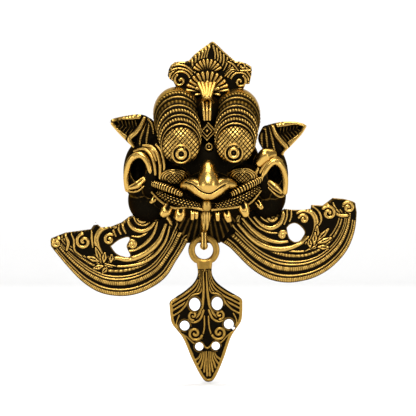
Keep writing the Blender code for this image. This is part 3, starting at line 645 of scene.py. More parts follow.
class Art:
    """A plate in the making: its spots, each one's height in front of the wall, and how rubbed it is."""

    def __init__(self, spots, edge, level, rubbed):
        self.spots, self.edge, self.level = spots, edge, level
        self.height = np.full(len(spots), float(level))
        self.rubbed = np.full(len(spots), float(rubbed))

    def stroke(
        self, line, half, rise, ticks=0.0, taper=(1, 1), shine=0.92, groove=0.8, level=None, smooth=True
    ):
        """A round ridge along a line with a black groove on both sides. Ticks cut it at the given pitch."""
        line = flow(line, 8 * len(line)) if smooth else np.array(line, float)
        base = self.level if level is None else level
        reach = half * max(taper) + groove
        box = ((self.spots > line.min(0) - reach) & (self.spots < line.max(0) + reach)).all(1)
        some = np.flatnonzero(box)
        if not len(some):
            return
        gap, along, side, foot = near(self.spots[some], line)
        length = max(along.max(), 1e-6)
        width = half * np.interp(along / length, np.linspace(0, 1, len(taper)), taper)
        body = gap < width
        top = np.sqrt(np.clip(1 - (gap / np.maximum(width, 1e-6)) ** 2, 0, 1))
        comb = 0.5 + 0.5 * np.cos(2 * math.pi * along / ticks) if ticks else np.ones(len(some))
        height = base + rise * top * (0.7 + 0.3 * comb)
        value = shine * (0.35 + 0.65 * top) * (0.45 + 0.55 * comb)
        on = some[body]
        self.height[on] = height[body]
        self.rubbed[on] = value[body]
        off = some[~body & (gap < width + groove)]
        self.height[off] = np.minimum(self.height[off], base - 0.5)
        self.rubbed[off] = np.minimum(self.rubbed[off], 0.04)


def within(spots, outline):
    """Which spots lie in a closed outline, by the number of its edges to their right."""
    a, b = outline, np.roll(outline, -1, 0)
    x, z = spots[:, :1], spots[:, 1:]
    spans = (a[:, 1] > z) != (b[:, 1] > z)
    rise = np.where(a[:, 1] == b[:, 1], 1, b[:, 1] - a[:, 1])
    return (spans & (x < a[:, 0] + (z - a[:, 1]) * (b[:, 0] - a[:, 0]) / rise)).sum(1) % 2 == 1


def carved_plate(outlines, cell, back, level, rubbed, carve, soft=1.0):
    """A plate on a square grid inside its outlines, the outer one first and then its holes. Cells that meet
    at a corner alone are dropped, and points at the rim move onto the outline. carve() works the front, the
    edge is rounded off to a quarter circle, and the back is flat."""
    outlines = [np.array(outline, float) for outline in outlines]
    low, high = outlines[0].min(0) - cell, outlines[0].max(0) + cell
    columns, rows = (int(n) for n in np.ceil((high - low) / cell) + 1)
    x, z = np.meshgrid(low[0] + cell * np.arange(columns), low[1] + cell * np.arange(rows))
    spots = np.stack([x.ravel(), z.ravel()], 1)
    centres = (np.stack([x, z], 2)[:-1, :-1] + cell / 2).reshape(-1, 2)
    kept = within(centres, outlines[0])
    for hole in outlines[1:]:
        kept &= ~within(centres, hole)
    kept = kept.reshape(rows - 1, columns - 1)
    for _ in range(4):
        a, b, c, d = kept[:-1, :-1], kept[:-1, 1:], kept[1:, :-1], kept[1:, 1:]
        b &= ~((a & d) ^ (b & c) & (a == d) & (b == c))
        kept[:-1, :-1] &= ~(a & d & ~b & ~c)
        kept[:-1, 1:] &= ~(b & c & ~a & ~d)
    i, j = np.nonzero(kept)
    a, b = i * columns + j, i * columns + j + 1
    c, d = b + columns, a + columns
    faces = np.concatenate([np.stack([a, b, c], 1), np.stack([a, c, d], 1)])
    used, faces = np.unique(faces, return_inverse=True)
    faces = faces.reshape(-1, 3)
    spots = spots[used]
    count = len(spots)
    edges = np.concatenate([faces[:, [0, 1]], faces[:, [1, 2]], faces[:, [2, 0]]])
    rim = edges[~np.isin(edges[:, 0] * count + edges[:, 1], edges[:, 1] * count + edges[:, 0])]
    edge = np.full(count, 1e9)
    foot = spots.copy()
    for outline in outlines:
        gap, _, _, place = near(spots, np.concatenate([outline, outline[:1]]))
        closer = gap < edge
        edge[closer], foot[closer] = gap[closer], place[closer]
    at_rim = np.unique(rim)
    spots[at_rim], edge[at_rim] = foot[at_rim], 0
    art = Art(spots, edge, level, rubbed)
    carve(art)
    short = np.clip(1 - edge / soft, 0, 1)
    height = art.height - soft * (1 - np.sqrt(1 - short**2))
    front = np.stack([spots[:, 0], height, spots[:, 1]], 1)
    rear = np.stack([spots[:, 0], np.full(count, float(back)), spots[:, 1]], 1)
    a, b = rim.T
    walls = np.concatenate([np.stack([b, a, a + count], 1), np.stack([b, a + count, b + count], 1)])
    skin = np.concatenate([faces, faces[:, ::-1] + count, walls])
    return np.concatenate([front, rear]), skin, np.concatenate([art.rubbed, np.full(count, 0.55)])


EARS = (
    {
        "leaf": [
            (-98, -10.5), (-94.6, -7.1), (-82.5, -4.3), (-70.4, -2.7), (-63.4, -3.6), (-58.9, -5.9),
            (-54, -10), (-50, -24), (-58, -36), (-73.2, -39), (-74.2, -36.5), (-81.2, -29.5), (-88.9, -21.8),
            (-97.2, -12.2),
        ],
        "tip": (-94, -12),
        "root": (-71, -17),
        "fold": [(-63.5, -7), (-66.5, -14), (-71.5, -21), (-78, -27.5), (-73.5, -37)],
        "strands": (
            [(-62, -9), (-64, -18), (-67, -27), (-68, -36)],
            [(-58, -9), (-59.5, -19), (-61, -29), (-61, -38)],
            [(-62, -5.5), (-56, -12), (-54, -22)],
        ),
    },
    {
        "leaf": [
            (98.1, -14), (94.3, -11.8), (86.6, -10.2), (77.1, -9.9), (67.5, -11.2), (59.2, -13.4), (54, -16),
            (50, -28), (58, -40), (73.3, -44), (76.4, -40.2), (83.5, -33.2), (93, -23), (97.5, -16),
        ],
        "tip": (94, -15),
        "root": (72, -22),
        "fold": [(64, -14), (67, -22), (72, -29), (78, -36.5), (74, -42.5)],
        "strands": (
            [(61, -15), (63, -24), (65, -34), (67, -42)],
            [(57, -16.5), (58, -26), (59, -36)],
            [(54, -17), (53, -26), (54, -36)],
        ),
    },
)


def carve_ear(shape):
    """How an ear is carved: a cup inside the rim, six veins a side from its axis, strands, lip and fold."""

    def carve(art):
        rim = art.edge
        tip, root = np.array(shape["tip"], float), np.array(shape["root"], float)
        axis = root - tip
        share = ((art.spots - tip) @ axis) / (axis @ axis)
        dish = step(1.8, 6.0, rim) * (share < 1.12)
        art.height -= 7.5 * dish
        art.rubbed[:] = np.where(share > 1.05, 0.12, 0.95 - 0.92 * step(2.2, 4.4, rim))
        across = np.array([-axis[1], axis[0]]) / np.linalg.norm(axis)
        for side in (-1, 1):
            for place in np.linspace(0.16, 0.92, 6):
                start = tip + axis * (place + 0.10)
                reach = (3.0 + 9.5 * np.sin(math.pi * min(place + 0.15, 1) * 0.62)) * side
                end = start + across * reach - axis * 0.20
                vein = flow([start, (start + end) / 2 - axis * 0.02, end], 8)
                cup = {"level": art.level - 6.5, "groove": 0.0, "smooth": False}
                art.stroke(vein, 0.95, 1.8, taper=(0.3, 0.9, 1.3), shine=0.55, **cup)
        for line in shape["strands"]:
            art.stroke(line, 1.6, 1.5, ticks=1.7, taper=(0.6, 1, 0.7), shine=0.8)
        lip = step(0.9, -0.3, rim - 2.3 - 2.4 * step(0.1, 0.8, share)) * (share < 1.06)
        art.height += lip * (art.level - art.height)
        art.rubbed = np.maximum(art.rubbed, 0.95 * lip)
        art.stroke(shape["fold"], 2.7, 2.2, taper=(0.8, 1, 1.1, 0.8), shine=0.97, level=art.level - 1.5)

    return carve


ear_shells = []
for shape in EARS:
    outline = flow([*shape["leaf"], shape["leaf"][0]], 90)[:-1]
    ear_shells.append(carved_plate([outline], 0.5, 7, 17, 0.3, carve_ear(shape)))

# The crown
# A palmette on a leaf-shaped plate: two tiers of petals, rays up to the tip, and a scroll on each side. Its
# foot stands forward between the brows and has a fan of its own. Five rods flare up from a collar in front of
# it, and a fluted handle drops from the collar to a diamond jewel with a small round boss under it.

CROWN_LEAF = [
    (3.0, 69.8), (5.3, 70.2), (9.4, 66.8), (15.1, 61.1), (20.9, 56), (27.3, 50.5), (31.7, 50.2),
    (38.1, 48.3), (43.2, 45.1), (43.8, 41.3), (43.2, 36.2), (41.3, 27.9), (37.5, 27.9), (35.5, 23),
    (30, 22), (20, 19), (14, 17), (-14, 17), (-20, 19.5), (-31, 23), (-34.6, 30.4), (-38.4, 33),
    (-40.3, 36.2), (-39.1, 42.6), (-37.2, 46.4), (-33.3, 49.6), (-27.6, 50.2), (-22.5, 50.2), (-18.7, 51.5),
    (-13.6, 57.2), (-7.2, 62.3), (1.7, 68.7),
]
CROWN_PLATE = 0.0048 / UNIT
# Each tier of petals: its hub, their inner and outer reach, how many, half their spread in degrees, and their
# half-width, rise and level.
FANS = (
    (37, 3, 14.5, 9, 62, 1.45, 2.2, 8.5),
    (18.5, 8, 20.5, 13, 82, 1.7, 2.4, 10.5),
)
FOOT = [
    (-15, 11), (-9, 9), (-7, 14.3), (6, 14.3), (8, 9), (14, 11), (16, 20), (23, 21), (17, 27), (9, 31),
    (-9, 31), (-17, 27), (-24, 21), (-17, 20),
]
FAN_AT = -0.5
# Each scroll: its middle, the angle of its outer end in degrees, and the way it winds.
CROWN_SCROLLS = ((-27.5, 31, 120, 1), (32, 30, 60, -1))


def spiral(x, z, radius, turns, start, hand, end=0.16):
    """Points of a scroll that winds in from its outer end, its start in degrees."""
    t = np.linspace(0, 1, 40)
    angle = np.radians(start + hand * 360 * turns * t)
    reach = radius * (1 + (end - 1) * t)
    return np.stack([x + reach * np.cos(angle), z + reach * np.sin(angle)], 1)


def petals(art, x, hub, near_end, far_end, count, spread, half, rise, level):
    """A fan of petals that widen from a hub, on a sunk ground black between them and above them, which is
    blackening in the sunk gap and a painted shadow of the tips on the plate behind; brightest at their tips.
    """
    offset = art.spots - (x, hub)
    reach = np.hypot(*offset.T)
    fan = (reach < far_end + half + 1.2) & (np.abs(np.degrees(np.arctan2(*offset.T))) < spread + 8)
    # The sunk ground round the fan is made black: blackening in the gap, and a painted shadow where the petal
    # tips stand over the plate or tier behind.
    art.height[fan] = level - 0.8
    art.rubbed[fan] = 0.03
    for angle in np.radians(np.linspace(-spread, spread, count)):
        way = np.array([math.sin(angle), math.cos(angle)])
        centre = np.array([x, hub])
        line = [centre + way * near_end, centre + way * (near_end + far_end) / 2, centre + way * far_end]
        art.stroke(line, half, rise, taper=(0.45, 0.9, 1.15), level=level, groove=0.5, shine=0.98)
    art.rubbed[fan] *= 0.3 + 0.7 * step(near_end, far_end, reach[fan])


def carve_crown(art):
    """The rays up to the tip, three arcs round a scroll on each side, lines towards them, and the petals."""
    art.rubbed[:] = 0.06 + 0.8 * step(1.8, 1.0, art.edge)
    for side in (-1, 1):
        for k in range(6):
            bottom = (2.6 + side * (4 + 2.2 * k), 50 - 2.2 * k)
            top = (3.6 + side * (1.6 + 3.5 * k), 66 - 3.0 * k)
            middle = ((bottom[0] + top[0]) / 2 + side * 1.2, (bottom[1] + top[1]) / 2)
            art.stroke([bottom, middle, top], 1.0, 1.2, taper=(0.5, 1, 1.1), groove=0.7, shine=0.85)
    for x, z, start, hand in CROWN_SCROLLS:
        for lift in (16.5, 13.2, 9.8):
            art.stroke(spiral(x, z, lift, 0.42, start - hand * 100, hand, 0.86), 1.15, 1.3, groove=0.7)
        art.stroke(spiral(x, z, 6.4, 1.15, start, hand, 0.1), 1.35, 1.7, groove=0.7)
    for line, half, rise in (
        ([(-36, 45), (-30, 47), (-22, 45.5), (-15, 40)], 1.0, 1.2),
        ([(-37, 41.5), (-29, 43.5), (-20, 41), (-14, 35)], 1.0, 1.2),
        (spiral(34, 45.5, 4.2, 1.0, 170, -1, 0.2), 1.1, 1.3),
        ([(42, 41.5), (33, 41), (24, 42), (17, 36)], 1.0, 1.2),
        ([(20, 50), (26, 46.5), (30, 41)], 1.0, 1.2),
    ):
        art.stroke(line, half, rise, groove=0.7)
    for fan in FANS:
        petals(art, FAN_AT, *fan)


def carve_foot(art):
    """The foot's own fan of seven petals, on a dark ground."""
    art.rubbed[:] = 0.05
    petals(art, FAN_AT, 18.5, 3, 11.5, 7, 100, 1.7, 1.6, 12.6)


crown_shells = [
    carved_plate([CROWN_LEAF], 0.46, 0, CROWN_PLATE, 0.1, carve_crown),
    carved_plate([FOOT], 0.5, 0, 12.0, 0.05, carve_foot),
]

JEWEL_AT = (-1, -20)
JEWEL_WIDE, JEWEL_TALL = 10.2, 10.6


def carve_jewel(art):
    """Nested diamonds round a dot, by the sum of the distances across and up from the middle."""
    across, up = (art.spots - JEWEL_AT).T
    reach = np.abs(across) + np.abs(up) * 0.92
    rings = hump(reach, 8.6, 1.25) + hump(reach, 5.2, 1.05)
    dot = hump(np.hypot(across, up), 0, 1.7)
    art.height += 1.6 * rings + 1.6 * dot + 0.25 * (9 - reach)
    art.rubbed[:] = 0.05 + 0.85 * np.maximum(rings, dot)


handle = []
for k in (-2, -1, 0, 1, 2):
    path = [(-1 + 1.5 * k, 43.5, 12), (-1.1 + 2.5 * k, 33.5, 20), (-1.4 + 4.0 * k, 20, 28.5)]
    rings, share, turns = sweep(path, [1.3, 1.8, 2.2], 60, 20)
    handle.append(closed(rings, 0.65 + 0.33 * share))
for x in (-5.0, -1.2, 2.6):
    handle.append(rod([(x, 41, 10), (0.85 * x, 47.5, 0), (0.7 * x, 46.5, -10)], [1.5, 1.3], 60, 16, 0.85))
handle.append(rod([(-7.5, 35, 6), (-1, 46, 13.5), (6.5, 35, 6)], [1.4, 2.2, 1.4], 50, 24, 0.88))
diamond = np.add([(-JEWEL_WIDE, 0), (0, -JEWEL_TALL), (JEWEL_WIDE, 0), (0, JEWEL_TALL)], JEWEL_AT)
jewel = carved_plate([diamond], 0.35, 36, 46, 0.1, carve_jewel)
BOSS = (
    (0.0, 43.8, 0.8), (1.0, 43.4, 0.75), (1.3, 42.2, 0.05), (2.2, 42.2, 0.05), (2.5, 43.0, 0.8),
    (3.4, 43.2, 0.85), (4.2, 42.0, 0.6), (4.4, 34.0, 0.05),
)
crown_piece = solid("mask_crown", crown_shells)
jewel_piece = solid("mask_jewel_and_ears", [*handle, jewel, turned(1, -35.5, BOSS, 30, 40), *ear_shells])

# The wings
# Crescents that sweep out from the chin: beaded and ticked bands with thin lines between them run from end to
# end, with scrolls, a sprig of leaves and a pierced hole above them.

# Each line has its points, half-width, rise and taper, each scroll its middle, radius, turns, start in
# degrees and hand, and each leaf its root and tip.
WINGS = (
    {
        "edge": [
            (-20, -129), (-25.1, -138.4), (-32.3, -149.6), (-40.4, -162.9), (-50.7, -172.1), (-66, -180.2),
            (-81.3, -183.8), (-96.6, -183.3), (-110.9, -179.2), (-125.1, -170), (-137.4, -157.8),
            (-149.6, -143.5), (-156.8, -134.3),
        ],
        "top": [
            (-157.3, -129.2), (-156.6, -126.2), (-142.5, -120.5), (-127.2, -118.5), (-117, -117),
            (-112.4, -110.3), (-106.8, -115.4), (-96.6, -114.4), (-86.4, -110.3), (-76.2, -102.7),
            (-74, -104), (-68, -107.5), (-61, -109), (-52, -107), (-45, -101), (-36, -93), (-20, -96),
        ],
        "hole": [
            (-97, -134.3), (-89, -128), (-80.5, -125.1), (-78.3, -127.5), (-81.3, -134.3), (-77.7, -143.5),
            (-82.3, -145), (-91.5, -141.5),
        ],
        "inner": [
            (-44, -114), (-48, -125), (-56, -137), (-68, -146), (-82, -150.5), (-97, -151.5), (-111, -148),
            (-125, -141), (-136, -133), (-142, -127),
        ],
        "lines": (
            (
                [(-42, -112), (-48, -127), (-57, -137), (-68, -144), (-81, -147.5), (-92, -146), (-98, -150)],
                2.6, 1.6, (0.5, 1, 1, 0.5),
            ),
            (
                [(-38, -114), (-42, -128), (-52, -142), (-66, -151), (-82, -154), (-94, -154)],
                1.5, 1.3, (0.6, 1, 1, 0.6),
            ),
            ([(-50, -108), (-54, -121), (-62, -131), (-72, -137.5), (-79, -139)], 1.7, 1.4, (0.5, 1, 0.7)),
            ([(-55, -109), (-60, -119), (-68, -124.5), (-76, -124)], 1.2, 1.2, (0.6, 1, 0.6)),
            (
                [(-78.5, -98), (-80, -107), (-75, -116), (-65, -119), (-56, -114), (-51, -105)],
                1.9, 1.5, (0.5, 1, 1, 0.5),
            ),
            ([(-73, -96), (-74, -104), (-70, -111), (-63, -113), (-57, -109)], 1.4, 1.3, (0.5, 1, 0.6)),
            ([(-84, -105), (-85, -114), (-82, -121)], 1.3, 1.2, (0.7, 1, 0.7)),
            ([(-89, -108.5), (-89.5, -116), (-87, -122)], 1.3, 1.2, (0.7, 1, 0.7)),
            ([(-94, -112), (-94.5, -118), (-92, -124)], 1.2, 1.2, (0.7, 1, 0.7)),
            (
                [
                    (-92, -115), (-101, -115), (-108, -119), (-111.5, -127), (-109.5, -136), (-105, -143),
                    (-100, -145.5),
                ],
                2.4, 1.6, (0.6, 1, 1, 0.6),
            ),
            ([(-116, -117), (-116, -126), (-115, -135)], 1.1, 1.1, (0.6, 1, 0.7)),
            ([(-142, -124), (-139.5, -131), (-141, -138)], 1.6, 1.4, (0.7, 1, 0.7)),
            ([(-137, -121), (-134, -128), (-133, -138), (-126, -144)], 1.1, 1.1, (0.6, 1, 0.7)),
        ),
        "scrolls": (
            (-151, -131, 4.6, 1.2, 60, 1),
            (-124, -129.5, 7.2, 1.35, 100, 1),
            (-98.5, -127.5, 5.2, 1.1, 60, 1),
            (-75.7, -132.5, 4.4, 1.2, 150, -1),
            (-65, -106, 5.0, 1.2, 150, 1),
        ),
        "leaves": (
            ((-107, -150), (-112, -136)), ((-109, -149), (-120, -145)), ((-104, -150), (-103, -141)),
            ((-105, -154), (-114, -156)), ((-101, -156), (-105, -160)), ((-97, -150), (-96, -143)),
        ),
        "stem": [(-92, -154), (-101, -152), (-108, -148), (-113, -143)],
    },
    {
        "edge": [
            (11, -129), (12.6, -129.8), (21.3, -135.2), (28.9, -142.8), (38.6, -152.6), (49.5, -161.2),
            (62.5, -167.7), (77.7, -170.5), (91.7, -169.4), (105.8, -165.6), (119.9, -158), (132.9, -146.1),
            (141.6, -133.1), (147, -116.8), (148.6, -100.5),
        ],
        "top": [
            (147, -90.8), (143.8, -89.1), (136.2, -87), (124.3, -85.9), (121, -88.6), (114.5, -93.5),
            (103.1, -92.9), (102.6, -96.7), (95, -97.8), (84.2, -97.8), (75.5, -96.7), (73, -99),
            (67, -103.5), (60, -105), (51, -103), (44, -97), (36, -92), (11, -97),
        ],
        "hole": [
            (78.7, -115.7), (82, -112.4), (86.3, -111.1), (89.8, -112.2), (92.8, -114.6), (95.4, -117.5),
            (96.6, -121.1), (94.6, -125), (91.7, -128.7), (86.3, -129.8), (80.9, -125.5),
        ],
        "inner": [
            (38, -110), (46, -119), (56, -126.5), (68, -132), (82, -135.5), (96, -136), (109, -131.5),
            (120, -122.5), (127, -112), (130, -103),
        ],
        "lines": (
            (
                [(30, -112), (42, -125), (54, -133), (68, -137), (81, -136), (93, -131), (100, -125)],
                2.4, 1.6, (0.5, 1, 1, 0.5),
            ),
            ([(34, -106), (44, -117), (56, -126), (69, -130), (79, -129.5)], 2.3, 1.6, (0.5, 1, 0.6)),
            ([(40, -104), (49, -114), (60, -120), (69, -121)], 1.3, 1.2, (0.5, 1, 0.6)),
            (
                [(46, -105), (54, -113), (63, -116), (71, -112), (75, -104), (72, -96.5), (64, -95.5)],
                2.2, 1.6, (0.5, 1, 1, 0.6),
            ),
            ([(50, -101), (56, -107.5), (63, -109.5), (69, -105.5)], 1.2, 1.2, (0.5, 1, 0.7)),
            ([(79, -98), (78.5, -105), (76, -112)], 1.1, 1.2, (0.8, 1, 0.8)),
            ([(83, -98), (83, -104), (81.5, -109)], 1.1, 1.2, (0.8, 1, 0.8)),
            (
                [(89, -101), (96, -98.5), (104, -101), (108, -109), (107, -119), (103, -127), (98, -131)],
                2.4, 1.6, (0.5, 1, 1, 0.6),
            ),
            ([(105, -94.5), (111, -100), (113, -108), (110, -114)], 1.1, 1.1, (0.6, 1, 0.7)),
            ([(128, -101.5), (133, -103.5), (139, -103.5)], 1.7, 1.5, (0.9, 1, 0.9)),
            ([(125, -91), (127, -96), (131, -100)], 1.1, 1.1, (0.7, 1, 0.7)),
        ),
        "scrolls": (
            (120.5, -101, 6.6, 1.4, 140, -1),
            (140, -95.5, 5.4, 1.3, 140, -1),
            (95.5, -107, 4.6, 1.1, 160, -1),
            (74.5, -123, 4.0, 1.2, 30, 1),
            (63.5, -104.5, 5.0, 1.2, 30, -1),
        ),
        "leaves": (
            ((108, -128), (109, -114)), ((109, -129), (120, -117)), ((110, -131), (123, -126)),
            ((106, -132), (107, -121)), ((110, -135), (120, -135)), ((102, -135), (101, -128)),
        ),
        "stem": [(97, -139), (105, -135), (110, -130), (113, -125)],
    },
)
WING_PLATE = 0.0038 / UNIT
# The bands, as shares of the way in from the lower edge: middle, half-width, rise and pitch of their ticks.
WING_BANDS = (
    (0.075, 0.070, 1.5, 1.9),
    (0.200, 0.028, 1.1, 0.0),
    (0.385, 0.070, 1.5, 2.3),
    (0.515, 0.028, 1.1, 0.0),
    (0.600, 0.022, 0.8, 0.0),
    (0.770, 0.048, 1.4, 2.0),
    (0.905, 0.030, 1.1, 0.0),
)


def carve_wing(shape):
    """How a wing is carved: bands by the share of the way in from its lower edge, then lines and scrolls."""

    def carve(art):
        outer, inner = flow(shape["edge"], 70), flow(shape["inner"], 60)
        from_edge, along, _, _ = near(art.spots, outer)
        from_inner, further, inner_side, _ = near(art.spots, inner)
        left = shape["edge"][-1][0] < 0
        beyond = inner_side == (-1 if left else 1)
        share = from_edge / np.maximum(from_edge + from_inner, 1e-6)
        ends = (further > 0.5) & (further < 0.995 * further.max())
        banded = ~beyond & (ends | (from_inner < 14))
        art.rubbed[:] = 0.07
        for middle, half, rise, pitch in WING_BANDS:
            body = hump(share, middle, half) * banded
            comb = 0.5 + 0.5 * np.cos(2 * math.pi * along / pitch) if pitch else 1.0
            art.height += rise * body * (0.65 + 0.35 * comb)
            art.rubbed += 0.86 * body * (0.45 + 0.55 * comb)
        for line, half, rise, taper in shape["lines"]:
            art.stroke(line, 1.12 * half, rise, taper=taper, groove=0.8)
        for x, z, radius, turns, start, hand in shape["scrolls"]:
            art.stroke(spiral(x, z, 1.08 * radius, turns, start, hand), 1.7, 1.6, groove=0.7, smooth=False)
        art.stroke(shape["stem"], 1.0, 1.2, taper=(0.6, 1, 0.8), groove=0.6)
        for root, tip in shape["leaves"]:
            root, tip = np.array(root), np.array(tip)
            art.stroke([root, (root + tip) / 2, tip], 2.7, 1.4, taper=(0.35, 1.1, 0.4), groove=0.8)
            slit = [root + (tip - root) * share for share in (0.3, 0.55, 0.8)]
            art.stroke(slit, 0.6, -0.7, shine=0.02, groove=0)
        art.rubbed[:] = np.maximum(art.rubbed, 0.55 * step(1.3, 0.6, art.edge) * ~banded)

    return carve


wing_pieces = []
for side, shape in zip(("left", "right"), WINGS, strict=True):
    outline = np.concatenate([flow(shape["edge"], 60), np.array(shape["top"], float)])
    hole = flow([*shape["hole"], shape["hole"][0]], 40)[:-1]
    shell = carved_plate([outline, hole], 0.48, 0, WING_PLATE, 0.07, carve_wing(shape))
    wing_pieces.append(solid(f"mask_wing_{side}", [shell]))

# The chin web
# A plain dark plate joins the wings under the jaw, cast in one with them. It is scored with lines that spread
# down from the lip.

WEB = [
    (-41, -93), (-32, -112), (-21, -131), (12, -131), (26, -112), (37, -93), (20, -97), (0, -98), (-20, -97),
]
WEB_PLATE = 0.0040 / UNIT


def carve_web(art):
    """Lines by a cosine of the angle round a spot above the lip."""
    x, z = art.spots[:, 0] + 2, art.spots[:, 1] + 66
    comb = 0.5 + 0.5 * np.cos(np.arctan2(x, -z) * 64)
    art.height += 0.6 * comb
    art.rubbed[:] = 0.04 + 0.42 * comb**2


web = solid("mask_chin_web", [carved_plate([WEB], 0.62, 0, WEB_PLATE, 0.05, carve_web)])

# The back
# The rim lies flat on the wall, the face is hollow behind, and a flat bar across the top of the hollow sits
# on a nail. All the pieces up to here are one casting.

BAR_THICK = 0.003 / UNIT
bar = solid("mask_bar", [block((-51, 0, -6), (51, BAR_THICK, 6))])
mask_pieces = [opened(item) for item in (*brow_pieces, face)]
mask_pieces += [features, jewel_piece, crown_piece, *wing_pieces, web, bar]
for item in mask_pieces:
    item.data.materials.clear()
    item.data.materials.append(cast_brass)
    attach(item, "root")
    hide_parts("mask")

# The hook
# A tulip flares under the lip and draws down to a fluted strap. It was bent back through the pendant's eye
# once the pendant hung on it, and it stands clear of the chin web.

EYE_AT = (-4, -137.8)
HOOK_WIDE = 0.0040 / UNIT
HOOK_DEEP = 0.0054 / UNIT
HOOK_CLEAR = 0.0010 / UNIT
GAP = 0.0003 / UNIT
EYE_HOLE = 0.0120 / UNIT
EYE_OUTSIDE = 0.0208 / UNIT
PENDANT_PLATE = 0.0030 / UNIT
EYE_DEPTH = WEB_PLATE + HOOK_CLEAR + HOOK_WIDE + GAP + PENDANT_PLATE / 2


def hook():
    """A rod down from the lip and half round the eye's edge, with flutes by the distance across it."""
    reach = PENDANT_PLATE / 2 + GAP + HOOK_WIDE / 2
    seat = EYE_AT[1] + EYE_HOLE / 2 - GAP
    drop = HOOK_DEEP / 2 + GAP
    path = [(-2, 44, -95), (-2, 43, -102), (-2.4, 39, -109), (-3, 33, -116)]
    path.append((EYE_AT[0], EYE_DEPTH + reach, seat + 10.5))
    radii = [4.0, 6.2, 4.8, 3.2, HOOK_WIDE / 2]
    for angle in np.linspace(0, math.pi, 9):
        across = math.copysign(abs(math.cos(angle)) ** 0.7, math.cos(angle))
        down = max(0.0, math.sin(angle)) ** 0.7
        path.append((EYE_AT[0], EYE_DEPTH + reach * across, seat - drop * down))
        radii.append(HOOK_WIDE / 2 + (HOOK_DEEP - HOOK_WIDE) / 2 * math.sin(angle) ** 2)
    path.append((EYE_AT[0], EYE_DEPTH - reach, seat + 5))
    radii.append(0.42 * HOOK_WIDE)
    rings, share, turns = sweep(path, radii, 260, 64, aside=(1, 0, 0))
    middle, down = rings.mean(1)[:, 0, None], rings.mean(1)[:, 2, None]
    facing = np.abs(np.cos(turns)) > 0.5
    flute = hump(rings[..., 0] - middle, 0, 0.9) * facing * (share < 0.62)
    cup = np.abs(np.sin((rings[..., 0] + 2.2) * 1.15)) * step(-112, -105, down) * (share < 0.4)
    groove = np.maximum(0.8 * flute * step(-104, -114, down), 0.7 * (1 - cup) * step(-112, -105, down))
    return closed(rings - outward(rings) * (0.7 * groove)[..., None], 0.93 - 0.75 * groove)


hook_piece = solid("chin_hook_form", [hook()])
hook_piece.data.materials.append(brass("hook_brass", (0.58, 0.36, 0.092), 0.24))
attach(hook_piece, "root")
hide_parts("chin_hook")

# The pendant
# A pierced leaf under a plain round eye, cast by itself: strands run from the neck to its shoulders, a stem
# ends in two pairs of scrolls between six holes, a fan fills its point, and a plain rim frames it.

PENDANT_EDGE = [
    (7.8, -13), (6.9, -22), (8.6, -28), (13, -34), (21, -40.3), (29, -45.3), (35.6, -50), (36.2, -56),
    (35.8, -64), (34.4, -72), (29.5, -79), (24.5, -86), (21, -94), (17, -105), (12, -116.5), (6.5, -127),
    (3.2, -130.6),
]
PENDANT_TIP = -131.4
PENDANT_STRANDS = (
    [(6.2, -20), (6.4, -28), (10.8, -35.5), (19.5, -42.5), (27.8, -47.4), (33.8, -51)],
    [(4.7, -20), (4.9, -29), (9, -38), (17.5, -45.6), (26.5, -50.8), (33.8, -55)],
    [(3.3, -20), (3.6, -30), (7.2, -40.2), (15.5, -48.6), (25, -54.3), (33.6, -59.2)],
    [(2.0, -20), (2.3, -31), (5.4, -42), (13.5, -44.8), (21, -55), (26, -60), (32.6, -64)],
)
PENDANT_STEM = [(1.6, -22), (1.8, -38), (3.0, -52), (5.5, -61), (10, -66.5)]
# The tendril under the upper scroll, the middle stalk, the line under the lower scroll and the outer line.
PENDANT_LINES = (
    [(2.6, -60), (6, -68), (12, -71.5), (18, -69)],
    [(2.0, -66), (2.6, -78), (5.5, -88)],
    [(6, -91), (13, -92.5), (20, -86), (26, -82)],
    [(27, -64), (30, -72), (27, -80), (21, -90), (15, -103)],
)
PENDANT_HOLES = (((11.2, -53.7), (5.5, 6.5)), ((22, -74.5), (4.8, 4.8)), ((8.2, -95.8), (4.1, 4.1)))
LEAN = math.radians(2.1)


def circle(x, z, wide, tall, count):
    """Points of an ellipse round a middle."""
    turns = np.linspace(0, 2 * math.pi, count, endpoint=False)
    return np.stack([x + wide * np.cos(turns), z + tall * np.sin(turns)], 1)


